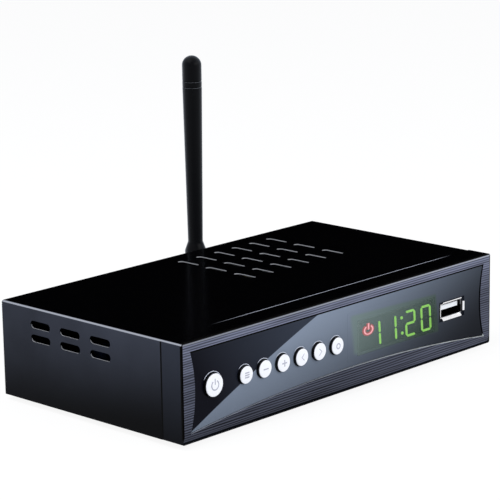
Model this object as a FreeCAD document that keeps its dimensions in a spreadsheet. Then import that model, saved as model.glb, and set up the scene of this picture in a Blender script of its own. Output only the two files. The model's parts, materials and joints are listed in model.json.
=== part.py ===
# Set-top satellite receiver: folded steel case, moulded front with keys, display
# and USB socket, boards and sockets inside, and a whip antenna on the rear wall.
#
# Row frame: +X to the right seen from the front, +Y to the back, +Z up. The origin is
# the middle of the whole outline, on the surface that the feet stand on.
import FreeCAD, Part
import math
import os
import re
import Sketcher

doc = FreeCAD.newDocument("SatelliteReceiver")

# ---------------------------------------------------------------- driving sizes (mm)
SIZES = {
    # case
    "case_width": 175,        # over the front bezel
    "case_height": 37,        # over the front bezel
    "case_depth": 96,         # from the face plate to the back of the cover
    "ground_gap": 2,          # from the surface to the bezel's lower edge
    "sheet_wall": 0.8,        # steel of the cover and the tray
    "sheet_gap": 0.1,         # between sheets that slide together
    "cover_screw_level": 21,
    "cover_screw_x": -28,
    "bend_radius": 1.05,      # outside of a fold
    "rear_flange": 6.2,       # width of the cover's rear flange
    "tray_flange": 7,         # height of the tray's side flanges
    # front bezel and face plate
    "bezel_depth": 10.5,
    "bezel_proud": 0.15,      # bezel past the cover on every side
    "bezel_wall": 3,
    "bezel_face": 2,          # thickness of the moulding's front wall
    "bezel_round": 0.8,
    "rim_setback": 0.2,       # bezel rim behind the face plate
    "plate_wall": 1.2,
    "plate_inset": 0.5,       # bezel rim seen beside and below the face plate
    "plate_bevel": 2.2,       # height of the bevel along the face plate's lower edge
    "bevel_depth": 0.7,
    "lip_length": 5,          # bezel lip inside the cover
    "lip_wall": 1.2,
    "catch_width": 4,
    "catch_length": 2.5,
    "catch_start": 1.5,       # behind the bezel
    "catch_level": 1,         # above the tray's floor
    "catch_gap": 0.3,
    # fascia insert
    "insert_foot_end": 4.3,   # from the end of the bezel to a lower corner
    "insert_head_end": 4.7,
    "insert_low": 3.7,        # lower corners above the bezel's lower edge
    "insert_head_drop": 3.85,  # from the bezel's upper edge to the insert
    "insert_bow": 2.3,        # how far the ends curve in
    "insert_arch": 5.1,       # rise of the lower edge
    "insert_wall": 0.8,
    "insert_gap": 0.25,
    # keys
    "power_inset": 15.4,      # from the left end of the bezel
    "power_radius": 4.3,
    "keys_inset": 31.8,       # first small key, from the left end
    "key_pitch": 9.87,
    "key_radius": 3.3,
    "key_level": 19,          # above the bezel's lower edge
    "key_proud": 1.2,
    "key_edge": 0.5,
    "key_gap": 0.25,
    "key_travel": 0.5,
    "collar_width": 0.8,
    "collar_wall": 1,
    "stem_radius": 1.6,
    "touch_gap": 0.1,         # running gap behind a key and in front of its switch
    "switch_size": 6,
    "switch_height": 3.5,
    "switch_chamfer": 0.8,
    "plunger_radius": 1.6,
    "plunger_length": 0.8,
    # display
    "window_lead": 10.75,     # from the last key's middle to the window
    "window_tail": 34.1,      # from the window to the right end of the bezel
    "window_level": 19.35,
    "window_height": 15.55,
    "window_ledge": 1,
    "window_gap": 0.15,
    "display_margin": 2.5,    # display inside the window's ends
    "display_shift": 1.25,    # display's middle right of the window's
    "display_level": 18.85,
    "display_height": 12.4,
    "display_chamfer": 0.6,
    "display_setback": 2,     # face of the display behind the face plate
    "print_width": 44,        # width of a display that the figures below are drawn for
    "digits_shift": 1.7,      # colon right of the display's middle
    "digit_height": 10.5,
    "digit_width": 6.05,
    "digit_stroke": 0.9,
    "digit_pitch": 9.6,
    "colon_pitch": 11.05,
    "segment_gap": 0.15,
    "segment_wall": 0.4,
    "indicator_inset": 3.1,   # from the left end of the display
    "indicator_level": 21.45,
    "indicator_radius": 2.3,
    "colon_rise": 2.8,
    "colon_radius": 0.55,
    "sensor_lead": 3.4,       # from the sensor's middle to the window
    "sensor_drop": 10,        # below the bezel's upper edge
    "sensor_radius": 2.5,
    "sensor_setback": 1.6,
    "sensor_gap": 0.6,
    "sensor_size": 6.4,
    # front USB socket
    "usb_inset": 24.2,        # from the right end of the bezel
    "usb_level": 18.8,
    "usb_width": 13.6,
    "usb_height": 5.8,
    "usb_length": 14,
    "usb_wall": 0.4,
    "usb_flare": 0.9,
    "usb_setback": 0.1,
    "usb_corner": 1,          # bare corner beside each lip
    "usb_tongue_width": 11.1,
    "usb_tongue_wall": 1.9,
    "usb_tongue_rise": 1.1,
    "usb_tongue_length": 9,
    "usb_mouth_gap": 0.2,
    # boards
    "board_wall": 1.6,
    "front_board_setback": 10.1,
    "front_board_margin": 0.6,
    "boss_radius": 2.6,
    "boss_inset": 8,
    "boss_low": 7.5,
    "boss_drop": 6.5,         # upper bosses below the bezel's upper edge
    "screw_radius": 1.2,
    "screw_gap": 0.05,
    "screw_head": 2.3,
    "screw_head_wall": 1.3,
    "screw_length": 5,
    "board_front": 26,        # main board's front edge behind the face
    "board_margin": 2,
    "board_rear_gap": 1,
    "standoff_height": 4,
    "standoff_radius": 2.6,
    "standoff_inset": 11.5,
    "standoff_front": 31,
    "standoff_lead": 8.2,     # rear standoffs in front of the tuner
    # tuner and its connectors
    "tuner_inset": 26,        # from the right side of the case
    "tuner_width": 36,
    "tuner_length": 26,
    "tuner_height": 14,
    "tuner_round": 1,
    "seat_gap": 0.1,          # between a socket's body and the rear wall
    "lnb_pitch": 18,
    "lnb_level": 7.5,         # above the main board
    "lnb_radius": 4.7,
    "lnb_reach": 11,          # past the rear of the case
    "lnb_hex": 5.5,
    "lnb_hex_wall": 2,
    "lnb_bore": 3.3,
    "lnb_pin_hole": 0.6,
    "lnb_pin_depth": 6,
    "lnb_recess": 1,
    "hole_gap": 0.2,          # round what passes through the rear wall
    # audio and video block
    "av_lead": 22.4,          # from the block's middle to the antenna's
    "av_width": 26.5,
    "av_head": 6.5,           # block above its upper jacks
    "av_length": 14,
    "av_chamfer": 1.5,
    "jack_pitch_x": 14,
    "jack_pitch_z": 12,
    "jack_drop": 1.15,        # upper jacks below the cover's rear flange
    "jack_radius": 4.15,
    "jack_wall": 0.5,
    "jack_reach": 8,
    "jack_hole": 1.65,
    "jack_hole_depth": 7,
    "jack_fit": 0.05,
    "jack_inset": 0.6,
    # digital video socket
    "hdmi_lead": 28,          # from its middle to the block's
    "hdmi_width": 15,
    "hdmi_height": 5.6,
    "hdmi_length": 11,
    "hdmi_level": 3.2,
    "hdmi_wall": 0.5,
    "hdmi_slope": 1.2,
    "hdmi_tongue_width": 11,
    "hdmi_tongue_wall": 1.2,
    "hdmi_tongue_inset": 2,
    "socket_back": 3,         # moulded block behind a socket's tongue
    "socket_reach": 0.6,      # mouth behind the rear wall
    # power inlet
    "inlet_inset": 42.5,      # from the left side of the case
    "inlet_width": 9,
    "inlet_height": 11,
    "inlet_length": 13,
    "inlet_level": 6.5,
    "inlet_bore": 3.1,
    "inlet_depth": 9,
    "inlet_pin": 1,
    "inlet_round": 2,
    # rocker switch
    "rocker_inset": 19.5,     # from the left side of the case
    "rocker_drop": 2.35,      # housing below the cover's rear flange
    "rocker_width": 6.4,
    "rocker_half": 5,         # from the pivot to an end
    "rocker_dip": 2.4,        # face at the pivot, outward
    "rocker_peak": 3.4,       # face at the ends, outward
    "rocker_root": 1.5,
    "rocker_throw": 14,       # degrees from stop to stop
    "rocker_gap": 0.3,
    "rocker_seat": 0.8,       # pivot inside the housing's face
    "rocker_frame": 1.6,      # housing wall round the rocker
    "rocker_rim": 1.2,        # flange past the housing, on the rear wall
    "rocker_rim_wall": 1.5,
    "rocker_body": 10,        # housing inside the case
    "rocker_pin": 0.9,
    "rocker_pin_length": 0.9,
    "pin_gap": 0.06,
    # antenna
    "antenna_inset": 51.1,    # from the right side of the case
    "antenna_level": 22,
    "antenna_reach": 20,      # tilt pin behind the case
    "jack_thread": 3.1,
    "jack_thread_length": 8,
    "jack_tail": 6,
    "nut_radius": 4.6,
    "nut_wall": 2.2,
    "swivel_radius": 4.8,
    "swivel_gap": 0.08,
    "swivel_lead": 0.3,       # between the nut and the collar
    "fork_gap": 0.15,
    "eye_radius": 4.1,
    "eye_wall": 5,
    "hinge_pin": 1.4,
    "hinge_fit": 0.02,
    "hinge_gap": 0.07,
    "collar_end": 5,          # collar's end in front of the tilt pin
    "skirt_radius": 4.5,
    "skirt_length": 5,
    "neck_radius": 3.1,
    "neck_start": 14,
    "tip_radius": 4.1,
    "whip_length": 92.4,
    "tip_round": 2.5,
    "groove_from_tip": 10.2,
    "groove_pitch": 3,
    "groove_width": 0.8,
    "groove_depth": 0.35,
    "tip_flat": 1.6,          # radius of the flat on the tip
    "tip_bow": 0.7,
    # vents
    "vent_width": 3,
    "vent_length": 10.8,
    "top_vent_x": -1.5,
    "top_vent_margin": 8.3,   # behind the last row
    "top_vent_pitch_x": 10.3,
    "top_vent_pitch_y": 15.5,
    "top_vent_columns": 6,
    "vent_rows": 3,
    "side_vent_margin": 16.7,
    "side_vent_drop": 11.9,   # lower row below the bezel's upper edge
    "side_vent_pitch_y": 16.15,
    "side_vent_pitch_z": 5.25,
    "side_vent_rows": 2,
    "floor_vent_x": -26,
    "floor_vent_margin": 14.2,
    # feet
    "foot_radius": 6,
    "foot_edge": 0.5,
    "foot_inset": 18,
    # parts on the main board
    "chip_x": 4,
    "chip_y": 45,
    "chip_size": 19,
    "chip_wall": 1.8,
    "memory_pitch": 21,
    "memory_width": 9,
    "memory_length": 13,
    "memory_wall": 1.1,
    "sink_size": 22,
    "sink_base": 1.6,
    "sink_height": 9,
    "fin_wall": 1.2,
    "fin_pitch": 4.1,
    "fin_count": 6,
    "capacitor_inset": 29.5,  # from the left side of the case
    "capacitor_y": 50,
    "capacitor_pitch": 11,
    "capacitor_radius": 4,
    "capacitor_height": 12,
    "capacitor_count": 3,
    "ribbon_x": -20,
    "ribbon_width": 24,
    "ribbon_wall": 0.9,
    "ribbon_level": 14,
    "ribbon_inset": 4,
    "ribbon_bend": 2,
}

sheet = doc.addObject("Spreadsheet::Sheet", "Sizes")
for row, (alias, size) in enumerate(SIZES.items(), start=1):
    sheet.set(f"A{row}", alias.replace("_", " "))
    sheet.set(f"B{row}", str(size))
    sheet.setAlias(f"B{row}", alias)
doc.recompute()

# ------------------------------------------------- places worked out from the sizes
# y is measured back from the face plate, and z up from the surface.
FACE = "(key_proud - case_depth - antenna_reach - swivel_radius) / 2"
UNDER = "(ground_gap + bezel_proud)"
TRAY = f"({UNDER} + sheet_wall)"
ROOF = "(ground_gap + case_height - bezel_proud)"
CEILING = f"({ROOF} - sheet_wall)"
SIDE = "(case_width / 2 - bezel_proud)"
INSIDE = f"({SIDE} - sheet_wall - sheet_gap)"
LIP = f"({INSIDE} - sheet_wall - sheet_gap)"
REAR = "(case_depth - sheet_wall - sheet_gap)"
REAR_INSIDE = f"({REAR} - sheet_wall)"
SOCKETS = f"({REAR_INSIDE} - seat_gap)"
BEZEL_BACK = "(plate_wall + bezel_face)"
BOARD = f"({TRAY} + standoff_height)"
DECK = f"({BOARD} + board_wall)"
PIVOT = "(case_depth + antenna_reach)"
KEY_NAMES = ["power", "menu", "volume_down", "volume_up", "channel_down", "channel_up", "ok"]
SMALL_KEYS = range(len(KEY_NAMES) - 1)
KEY_X = ["(power_inset - case_width / 2)"]
KEY_X += [f"(keys_inset - case_width / 2 + {n} * key_pitch)" for n in SMALL_KEYS]
KEY_RADIUS = ["power_radius"] + ["key_radius" for _ in SMALL_KEYS]
KEY_LEVEL = "(ground_gap + key_level)"
SWITCH_TIP = "(front_board_setback - switch_height - plunger_length)"
SCREW_HOLE = "(screw_radius + screw_gap)"
WINDOW_LEFT = f"({KEY_X[-1]} + window_lead)"
WINDOW_RIGHT = "(case_width / 2 - window_tail)"
DISPLAY_HALF = f"(({WINDOW_RIGHT} - {WINDOW_LEFT}) / 2 - display_margin)"
DISPLAY_X = f"(({WINDOW_LEFT} + {WINDOW_RIGHT}) / 2 + display_shift)"
PRINT = f"(2 * {DISPLAY_HALF} / print_width)"
SENSOR_X = f"({WINDOW_LEFT} - sensor_lead)"
SENSOR_Z = "(ground_gap + case_height - sensor_drop)"
USB_X = "(case_width / 2 - usb_inset)"
TUNER_X = "(case_width / 2 - tuner_inset)"
ANTENNA_X = "(case_width / 2 - antenna_inset)"
AV_X = f"({ANTENNA_X} - av_lead)"
HDMI_X = f"({AV_X} - hdmi_lead)"
INLET_X = "(inlet_inset - case_width / 2)"
ROCKER_X = "(rocker_inset - case_width / 2)"
BELOW_FLANGE = f"({CEILING} - rear_flange)"
AV_HIGH = f"({BELOW_FLANGE} - jack_drop - jack_radius)"

NODES = []


def cells(text):
    """Turns the alias words of an expression into references to the sheet."""
    return re.sub(r"[a-z_]+[a-z]", lambda m: f"Sizes.{m[0]}" if m[0] in SIZES else m[0], str(text))


def number(text):
    """The present value of an expression."""
    return float(sheet.evalExpression(cells(text)))


def bind(thing, **values):
    """Binds properties of an object to expressions."""
    for name, text in values.items():
        thing.setExpression(name, cells(text))


def seat(thing, label, x="0", y="0", z="0"):
    """Names a sub-part and places it, y counted back from the face plate."""
    thing.Label = label
    if thing.Label != label:
        raise RuntimeError(f"{label} is another object's name")
    thing.setExpression("Placement.Base.x", cells(x))
    thing.setExpression("Placement.Base.y", cells(f"{FACE} + {y}"))
    thing.setExpression("Placement.Base.z", cells(z))
    NODES.append(thing)
    return thing


# ------------------------------------------------------------------ sketch helpers
def new_body(name):
    body = doc.addObject("PartDesign::Body", name)
    body.AllowCompound = True
    return body


def new_sketch(body, name, plane, offset="0"):
    """A sketch across the body, offset along +X, +Y or +Z."""
    sketch = body.newObject("Sketcher::SketchObject", f"{name}_sketch")
    support = next(f for f in body.Origin.OriginFeatures if f.Role == f"{plane}_Plane")
    sketch.AttachmentSupport = [(support, "")]
    sketch.MapMode = "FlatFace"
    sign = "-" if plane == "XZ" else ""
    sketch.setExpression("AttachmentOffset.Base.z", cells(f"{sign}({offset})"))
    return sketch


def pin_point(sketch, geometry, end, x, y):
    """Holds one point of a sketch at (x, y)."""
    for kind, text, axis in (("DistanceX", x, -2), ("DistanceY", y, -1)):
        value = number(text)
        if abs(value) < 1e-9:
            sketch.addConstraint(Sketcher.Constraint("PointOnObject", geometry, end, axis))
            continue
        index = sketch.addConstraint(Sketcher.Constraint(kind, -1, 1, geometry, end, value))
        sketch.setExpression(f"Constraints[{index}]", cells(text))


def circle(sketch, x, y, radius):
    centre = FreeCAD.Vector(number(x), number(y), 0)
    ring = Part.Circle(centre, FreeCAD.Vector(0, 0, 1), number(radius))
    geometry = sketch.addGeometry(ring, False)
    pin_point(sketch, geometry, 3, x, y)
    index = sketch.addConstraint(Sketcher.Constraint("Radius", geometry, number(radius)))
    sketch.setExpression(f"Constraints[{index}]", cells(radius))


def arc_between(start, end, bow):
    """An arc from start to end that bulges by bow to the left of the way."""
    chord = end - start
    left = FreeCAD.Vector(-chord.y, chord.x, 0).normalize()
    radius = (chord.Length ** 2 / 4 + bow ** 2) / (2 * abs(bow))
    side = 1 if bow > 0 else -1
    centre = (start + end) / 2 - left * (side * (radius - abs(bow)))
    first, last = (end, start) if bow > 0 else (start, end)
    x_axis = FreeCAD.Vector(1, 0, 0)
    angles = [x_axis.getAngle(p - centre) * (1 if (p - centre).y >= 0 else -1) for p in (first, last)]
    ring = Part.Circle(centre, FreeCAD.Vector(0, 0, 1), radius)
    return Part.ArcOfCircle(ring, angles[0], angles[1])


def outline(sketch, corners):
    """A closed outline through (x, y) corners; a third value bows the next edge to its left."""
    points = [FreeCAD.Vector(number(c[0]), number(c[1]), 0) for c in corners]
    starts, ends = [], []
    for i, corner in enumerate(corners):
        j = (i + 1) % len(corners)
        if len(corner) == 2:
            geometry = sketch.addGeometry(Part.LineSegment(points[i], points[j]), False)
            starts.append((geometry, 1))
            ends.append((geometry, 2))
            continue
        bow = number(corner[2])
        geometry = sketch.addGeometry(arc_between(points[i], points[j], bow), False)
        starts.append((geometry, 2 if bow > 0 else 1))
        ends.append((geometry, 1 if bow > 0 else 2))
    for i, corner in enumerate(corners):
        sketch.addConstraint(Sketcher.Constraint("Coincident", *ends[i - 1], *starts[i]))
        pin_point(sketch, *starts[i], corner[0], corner[1])
    for i, corner in enumerate(corners):
        if len(corner) == 2:
            continue
        x, y = corners[(i + 1) % len(corners)][:2]
        chord = f"(({x}) - ({corner[0]}))^2 + (({y}) - ({corner[1]}))^2"
        radius = f"(({chord}) / 4 + ({corner[2]})^2) / (2 * abs({corner[2]}))"
        index = sketch.addConstraint(Sketcher.Constraint("Radius", starts[i][0], number(radius)))
        sketch.setExpression(f"Constraints[{index}]", cells(radius))


def rectangle(sketch, x0, x1, y0, y1):
    outline(sketch, [(x0, y0), (x1, y0), (x1, y1), (x0, y1)])


def round_slot(sketch, x, y, length, width, upright=False):
    """A round-ended slot that starts at (x, y) and runs along the first axis, or up."""
    start = y if upright else x
    first, last = f"({start} + {width} / 2)", f"({start} + {length} - {width} / 2)"
    centres = [(x, first), (x, last)] if upright else [(first, y), (last, y)]
    a, b = (FreeCAD.Vector(number(u), number(v), 0) for u, v in centres)
    r = number(f"{width} / 2")
    across = FreeCAD.Vector(-r, 0, 0) if upright else FreeCAD.Vector(0, r, 0)
    turn_by = math.pi / 2 if upright else 0
    axis = FreeCAD.Vector(0, 0, 1)
    back = Part.ArcOfCircle(Part.Circle(a, axis, r), math.pi / 2 + turn_by, 3 * math.pi / 2 + turn_by)
    front = Part.ArcOfCircle(Part.Circle(b, axis, r), -math.pi / 2 + turn_by, math.pi / 2 + turn_by)
    sides = [Part.LineSegment(a - across, b - across), Part.LineSegment(b + across, a + across)]
    ring = [sketch.addGeometry(g, False) for g in (back, sides[0], front, sides[1])]
    for one, two in zip(ring, ring[1:] + ring[:1]):
        sketch.addConstraint(Sketcher.Constraint("Tangent", one, 2, two, 1))
    pin_point(sketch, ring[0], 3, *centres[0])
    pin_point(sketch, ring[2], 3, *centres[1])
    index = sketch.addConstraint(Sketcher.Constraint("Radius", ring[0], r))
    sketch.setExpression(f"Constraints[{index}]", cells(f"{width} / 2"))


def hexagon(sketch, x, y, across):
    """A nut's outline with its corners left and right; across is half the width over flats."""
    reach = f"({across} / cos(30))"
    half = f"({across} / cos(30) / 2)"
    corners = [(f"{x} + {reach}", y), (f"{x} + {half}", f"{y} + {across}"),
               (f"{x} - {half}", f"{y} + {across}"), (f"{x} - {reach}", y),
               (f"{x} - {half}", f"{y} - {across}"), (f"{x} + {half}", f"{y} - {across}")]
    outline(sketch, corners)


# ----------------------------------------------------------------- feature helpers
def plane_of(sketch):
    return sketch.AttachmentSupport[0][0].Role


def pad(body, sketch, length):
    """Pads a sketch towards +X, +Y or +Z."""
    feature = body.newObject("PartDesign::Pad", sketch.Name.replace("_sketch", "_pad"))
    feature.Profile = sketch
    feature.Reversed = plane_of(sketch) == "XZ_Plane"
    bind(feature, Length=length)
    return feature


def pocket(body, sketch, length):
    """Cuts a sketch towards +X, +Y or +Z."""
    feature = body.newObject("PartDesign::Pocket", sketch.Name.replace("_sketch", "_pocket"))
    feature.Profile = sketch
    feature.Reversed = plane_of(sketch) != "XZ_Plane"
    bind(feature, Length=length)
    return feature


def plate(body, name, plane, offset, length, x0, x1, y0, y1):
    sketch = new_sketch(body, name, plane, offset)
    rectangle(sketch, x0, x1, y0, y1)
    return pad(body, sketch, length)


def cut_out(body, name, plane, offset, length, x0, x1, y0, y1):
    sketch = new_sketch(body, name, plane, offset)
    rectangle(sketch, x0, x1, y0, y1)
    return pocket(body, sketch, length)


def rounds(body, name, plane, offset, length, circles, cut=False):
    sketch = new_sketch(body, name, plane, offset)
    for x, y, radius in circles:
        circle(sketch, x, y, radius)
    return (pocket if cut else pad)(body, sketch, length)


def turn(body, name, corners, plane="XY"):
    """Turns a profile of (radius, along) corners about the sketch's second axis."""
    sketch = new_sketch(body, name, plane)
    outline(sketch, corners)
    feature = body.newObject("PartDesign::Revolution", f"{name}_turned")
    feature.Profile = sketch
    feature.ReferenceAxis = (sketch, ["V_Axis"])
    feature.Angle = 360
    return feature


def edges_where(feature, axis, test):
    """Names of the feature's straight edges along an axis whose middle passes the test."""
    doc.recompute()
    names = []
    for i, edge in enumerate(feature.Shape.Edges, start=1):
        box = edge.BoundBox
        lengths = {"X": box.XLength, "Y": box.YLength, "Z": box.ZLength}
        along = lengths.pop(axis)
        if along > 1e-4 and max(lengths.values()) < 1e-4 and test(box.Center):
            names.append(f"Edge{i}")
    return names


def dress(body, kind, name, base, axis, test, size):
    """Adds a Fillet or a Chamfer to the straight edges along an axis that pass the test."""
    edges = edges_where(base, axis, test)
    if not edges:
        raise RuntimeError(f"{name}: no edge found")
    feature = body.newObject(f"PartDesign::{kind}", name)
    feature.Base = (base, edges)
    bind(feature, **{"Radius" if kind == "Fillet" else "Size": size})
    return feature


def near(value, text):
    return abs(value - number(text)) < 1e-4


def grid(body, name, cut, sketch, first, second):
    """Repeats a cut along the sketch's axes: (axis, pitch, count) twice."""
    both = body.newObject("PartDesign::MultiTransform", name)
    both.Originals = [cut]
    steps = []
    for axis, pitch, count in (first, second):
        step = body.newObject("PartDesign::LinearPattern", f"{name}_{axis[0].lower()}")
        step.Direction = (sketch, [axis])
        bind(step, Length=f"({count} - 1) * {pitch}", Occurrences=count)
        steps.append(step)
    both.Transformations = steps
    body.Tip = both
    return both


# --------------------------------------------------------------------- case: sheets
COVER_SCREWS = [(f"(-{SIDE} + sheet_wall + rear_flange / 2)", "(ground_gap + cover_screw_level)"),
                (f"({SIDE} - sheet_wall - rear_flange / 2)", "(ground_gap + cover_screw_level)"),
                ("cover_screw_x", f"({BELOW_FLANGE} + rear_flange / 2)")]
TUNER_JACKS = [f"({TUNER_X} - lnb_pitch / 2)", f"({TUNER_X} + lnb_pitch / 2)"]
AV_JACKS = [(f"({AV_X} {side} jack_pitch_x / 2)", level)
            for level in (f"({AV_HIGH} - jack_pitch_z)", AV_HIGH) for side in "-+"]
CATCH = ("(bezel_depth + catch_start)", "(bezel_depth + catch_start + catch_length)",
         f"({TRAY} + catch_level)", f"({TRAY} + catch_level + catch_width)")
LNB_Z = f"({DECK} + lnb_level)"
HDMI_Z = f"({DECK} + hdmi_level)"
INLET_Z = f"({DECK} + inlet_level)"
HOUSING_X = "(rocker_width / 2 + rocker_gap + rocker_frame)"
SWEEP = "(rocker_half * cos(rocker_throw / 2) + rocker_peak * sin(rocker_throw / 2))"
DIP = "(rocker_root * cos(rocker_throw / 2) + rocker_half * sin(rocker_throw / 2) + rocker_gap)"
HOUSING_Z = f"({SWEEP} + rocker_gap + rocker_frame)"
ROCKER_Z = f"({BELOW_FLANGE} - rocker_drop - rocker_rim - {HOUSING_Z})"


def vent_start(side):
    """Front end of the first row of vents in the top, the sides or the floor."""
    pitch = "side_vent_pitch_y" if side == "side" else "top_vent_pitch_y"
    return f"(case_depth - {side}_vent_margin - (vent_rows - 1) * {pitch} - vent_length)"


def top_cover():
    """U-shaped cover with a rear flange and round-ended vents."""
    body = new_body("Cover")
    section = new_sketch(body, "cover_section", "XZ", "bezel_depth")
    inner = f"({SIDE} - sheet_wall)"
    outline(section, [(f"-{SIDE}", UNDER), (f"-{SIDE}", ROOF), (SIDE, ROOF), (SIDE, UNDER),
                      (inner, UNDER), (inner, CEILING), (f"-{inner}", CEILING), (f"-{inner}", UNDER)])
    folded = pad(body, section, "case_depth - bezel_depth")
    outer = dress(body, "Fillet", "outer_folds", folded, "Y",
                  lambda p: near(p.z, ROOF), "bend_radius")
    dress(body, "Fillet", "inner_folds", outer, "Y",
          lambda p: near(p.z, CEILING) and near(abs(p.x), inner), "bend_radius - sheet_wall")
    flange = new_sketch(body, "rear_flange", "XZ", "case_depth - sheet_wall")
    mouth = f"({inner} - rear_flange)"
    outline(flange, [(f"-{inner}", UNDER), (f"-{inner}", CEILING), (inner, CEILING), (inner, UNDER),
                     (mouth, UNDER), (mouth, BELOW_FLANGE), (f"-{mouth}", BELOW_FLANGE),
                     (f"-{mouth}", UNDER)])
    pad(body, flange, "sheet_wall")
    rounds(body, "cover_screw_holes", "XZ", "case_depth - 2 * sheet_wall", "3 * sheet_wall",
           [(x, z, SCREW_HOLE) for x, z in COVER_SCREWS], cut=True)
    top = new_sketch(body, "top_vent", "XY", f"{CEILING} - sheet_wall")
    round_slot(top, "top_vent_x", vent_start("top"), "vent_length", "vent_width", upright=True)
    grid(body, "top_vents", pocket(body, top, "3 * sheet_wall"), top,
         ("H_Axis", "top_vent_pitch_x", "top_vent_columns"), ("V_Axis", "top_vent_pitch_y", "vent_rows"))
    side = new_sketch(body, "side_vent", "YZ", "-case_width / 2")
    level = "(ground_gap + case_height - side_vent_drop)"
    round_slot(side, vent_start("side"), level, "vent_length", "vent_width")
    grid(body, "side_vents", pocket(body, side, "case_width"), side,
         ("H_Axis", "side_vent_pitch_y", "vent_rows"), ("V_Axis", "side_vent_pitch_z", "side_vent_rows"))
    seat(body, "top_cover")


def base_tray():
    """Floor with side flanges and the rear wall that carries the sockets."""
    body = new_body("Tray")
    front = "(bezel_depth + sheet_gap)"
    rim, wall = f"({UNDER} + tray_flange)", f"({INSIDE} - sheet_wall)"
    section = new_sketch(body, "tray_section", "XZ", front)
    outline(section, [(f"-{INSIDE}", UNDER), (f"-{INSIDE}", rim), (f"-{wall}", rim), (f"-{wall}", TRAY),
                      (wall, TRAY), (wall, rim), (INSIDE, rim), (INSIDE, UNDER)])
    pad(body, section, f"{REAR} - {front}")
    back = plate(body, "rear_wall", "XZ", REAR_INSIDE, "sheet_wall",
                 f"-{INSIDE}", INSIDE, UNDER, f"{CEILING} - sheet_gap")
    dress(body, "Fillet", "rear_wall_corners", back, "Y",
          lambda p: near(p.z, f"{CEILING} - sheet_gap"), "bend_radius")
    holes = [(x, LNB_Z, "lnb_radius + hole_gap") for x in TUNER_JACKS]
    holes += [(x, z, "jack_radius + hole_gap") for x, z in AV_JACKS]
    holes += [(x, z, SCREW_HOLE) for x, z in COVER_SCREWS]
    holes.append((ANTENNA_X, "antenna_level", "jack_thread + hole_gap"))
    behind, through = f"{REAR_INSIDE} - sheet_wall", "3 * sheet_wall"
    rounds(body, "rear_holes", "XZ", behind, through, holes, cut=True)
    for name, x, half, low, high in (
            ("hdmi_hole", HDMI_X, "hdmi_width / 2", f"{HDMI_Z} - hdmi_height / 2",
             f"{HDMI_Z} + hdmi_height / 2"),
            ("inlet_hole", INLET_X, "inlet_width / 2", f"{DECK}", f"{DECK} + inlet_height"),
            ("rocker_hole", ROCKER_X, HOUSING_X, f"{ROCKER_Z} - {HOUSING_Z}",
             f"{ROCKER_Z} + {HOUSING_Z}")):
        cut_out(body, name, "XZ", behind, through, f"{x} - {half} - hole_gap", f"{x} + {half} + hole_gap",
                f"{low} - hole_gap", f"{high} + hole_gap")
    cut_out(body, "catch_windows", "YZ", f"-{SIDE}", f"2 * {SIDE}", f"{CATCH[0]} - catch_gap",
            f"{CATCH[1]} + catch_gap", f"{CATCH[2]} - catch_gap", f"{CATCH[3]} + catch_gap")
    vent = new_sketch(body, "floor_vent", "XY", f"{UNDER} - sheet_wall")
    round_slot(vent, "floor_vent_x", vent_start("floor"), "vent_length", "vent_width", upright=True)
    grid(body, "floor_vents", pocket(body, vent, "3 * sheet_wall"), vent,
         ("H_Axis", "top_vent_pitch_x", "top_vent_columns"), ("V_Axis", "top_vent_pitch_y", "vent_rows"))
    seat(body, "base_tray")


# ---------------------------------------------------------------------- case: front
def insert_corners(grow):
    """The fascia insert's outline, grown all round: arched foot, ends curved in."""
    low = f"(ground_gap + insert_low - {grow})"
    high = f"(ground_gap + case_height - insert_head_drop + {grow})"
    foot, head = (f"(case_width / 2 - {end} + {grow})" for end in ("insert_foot_end", "insert_head_end"))
    return [(f"-{foot}", low, "insert_arch"), (foot, low, "insert_bow"),
            (head, high), (f"-{head}", high, "insert_bow")]


def key_holes(body, name, offset, length):
    circles = [(x, KEY_LEVEL, f"{r} + key_gap") for x, r in zip(KEY_X, KEY_RADIUS)]
    rounds(body, name, "XZ", offset, length, circles, cut=True)


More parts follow.
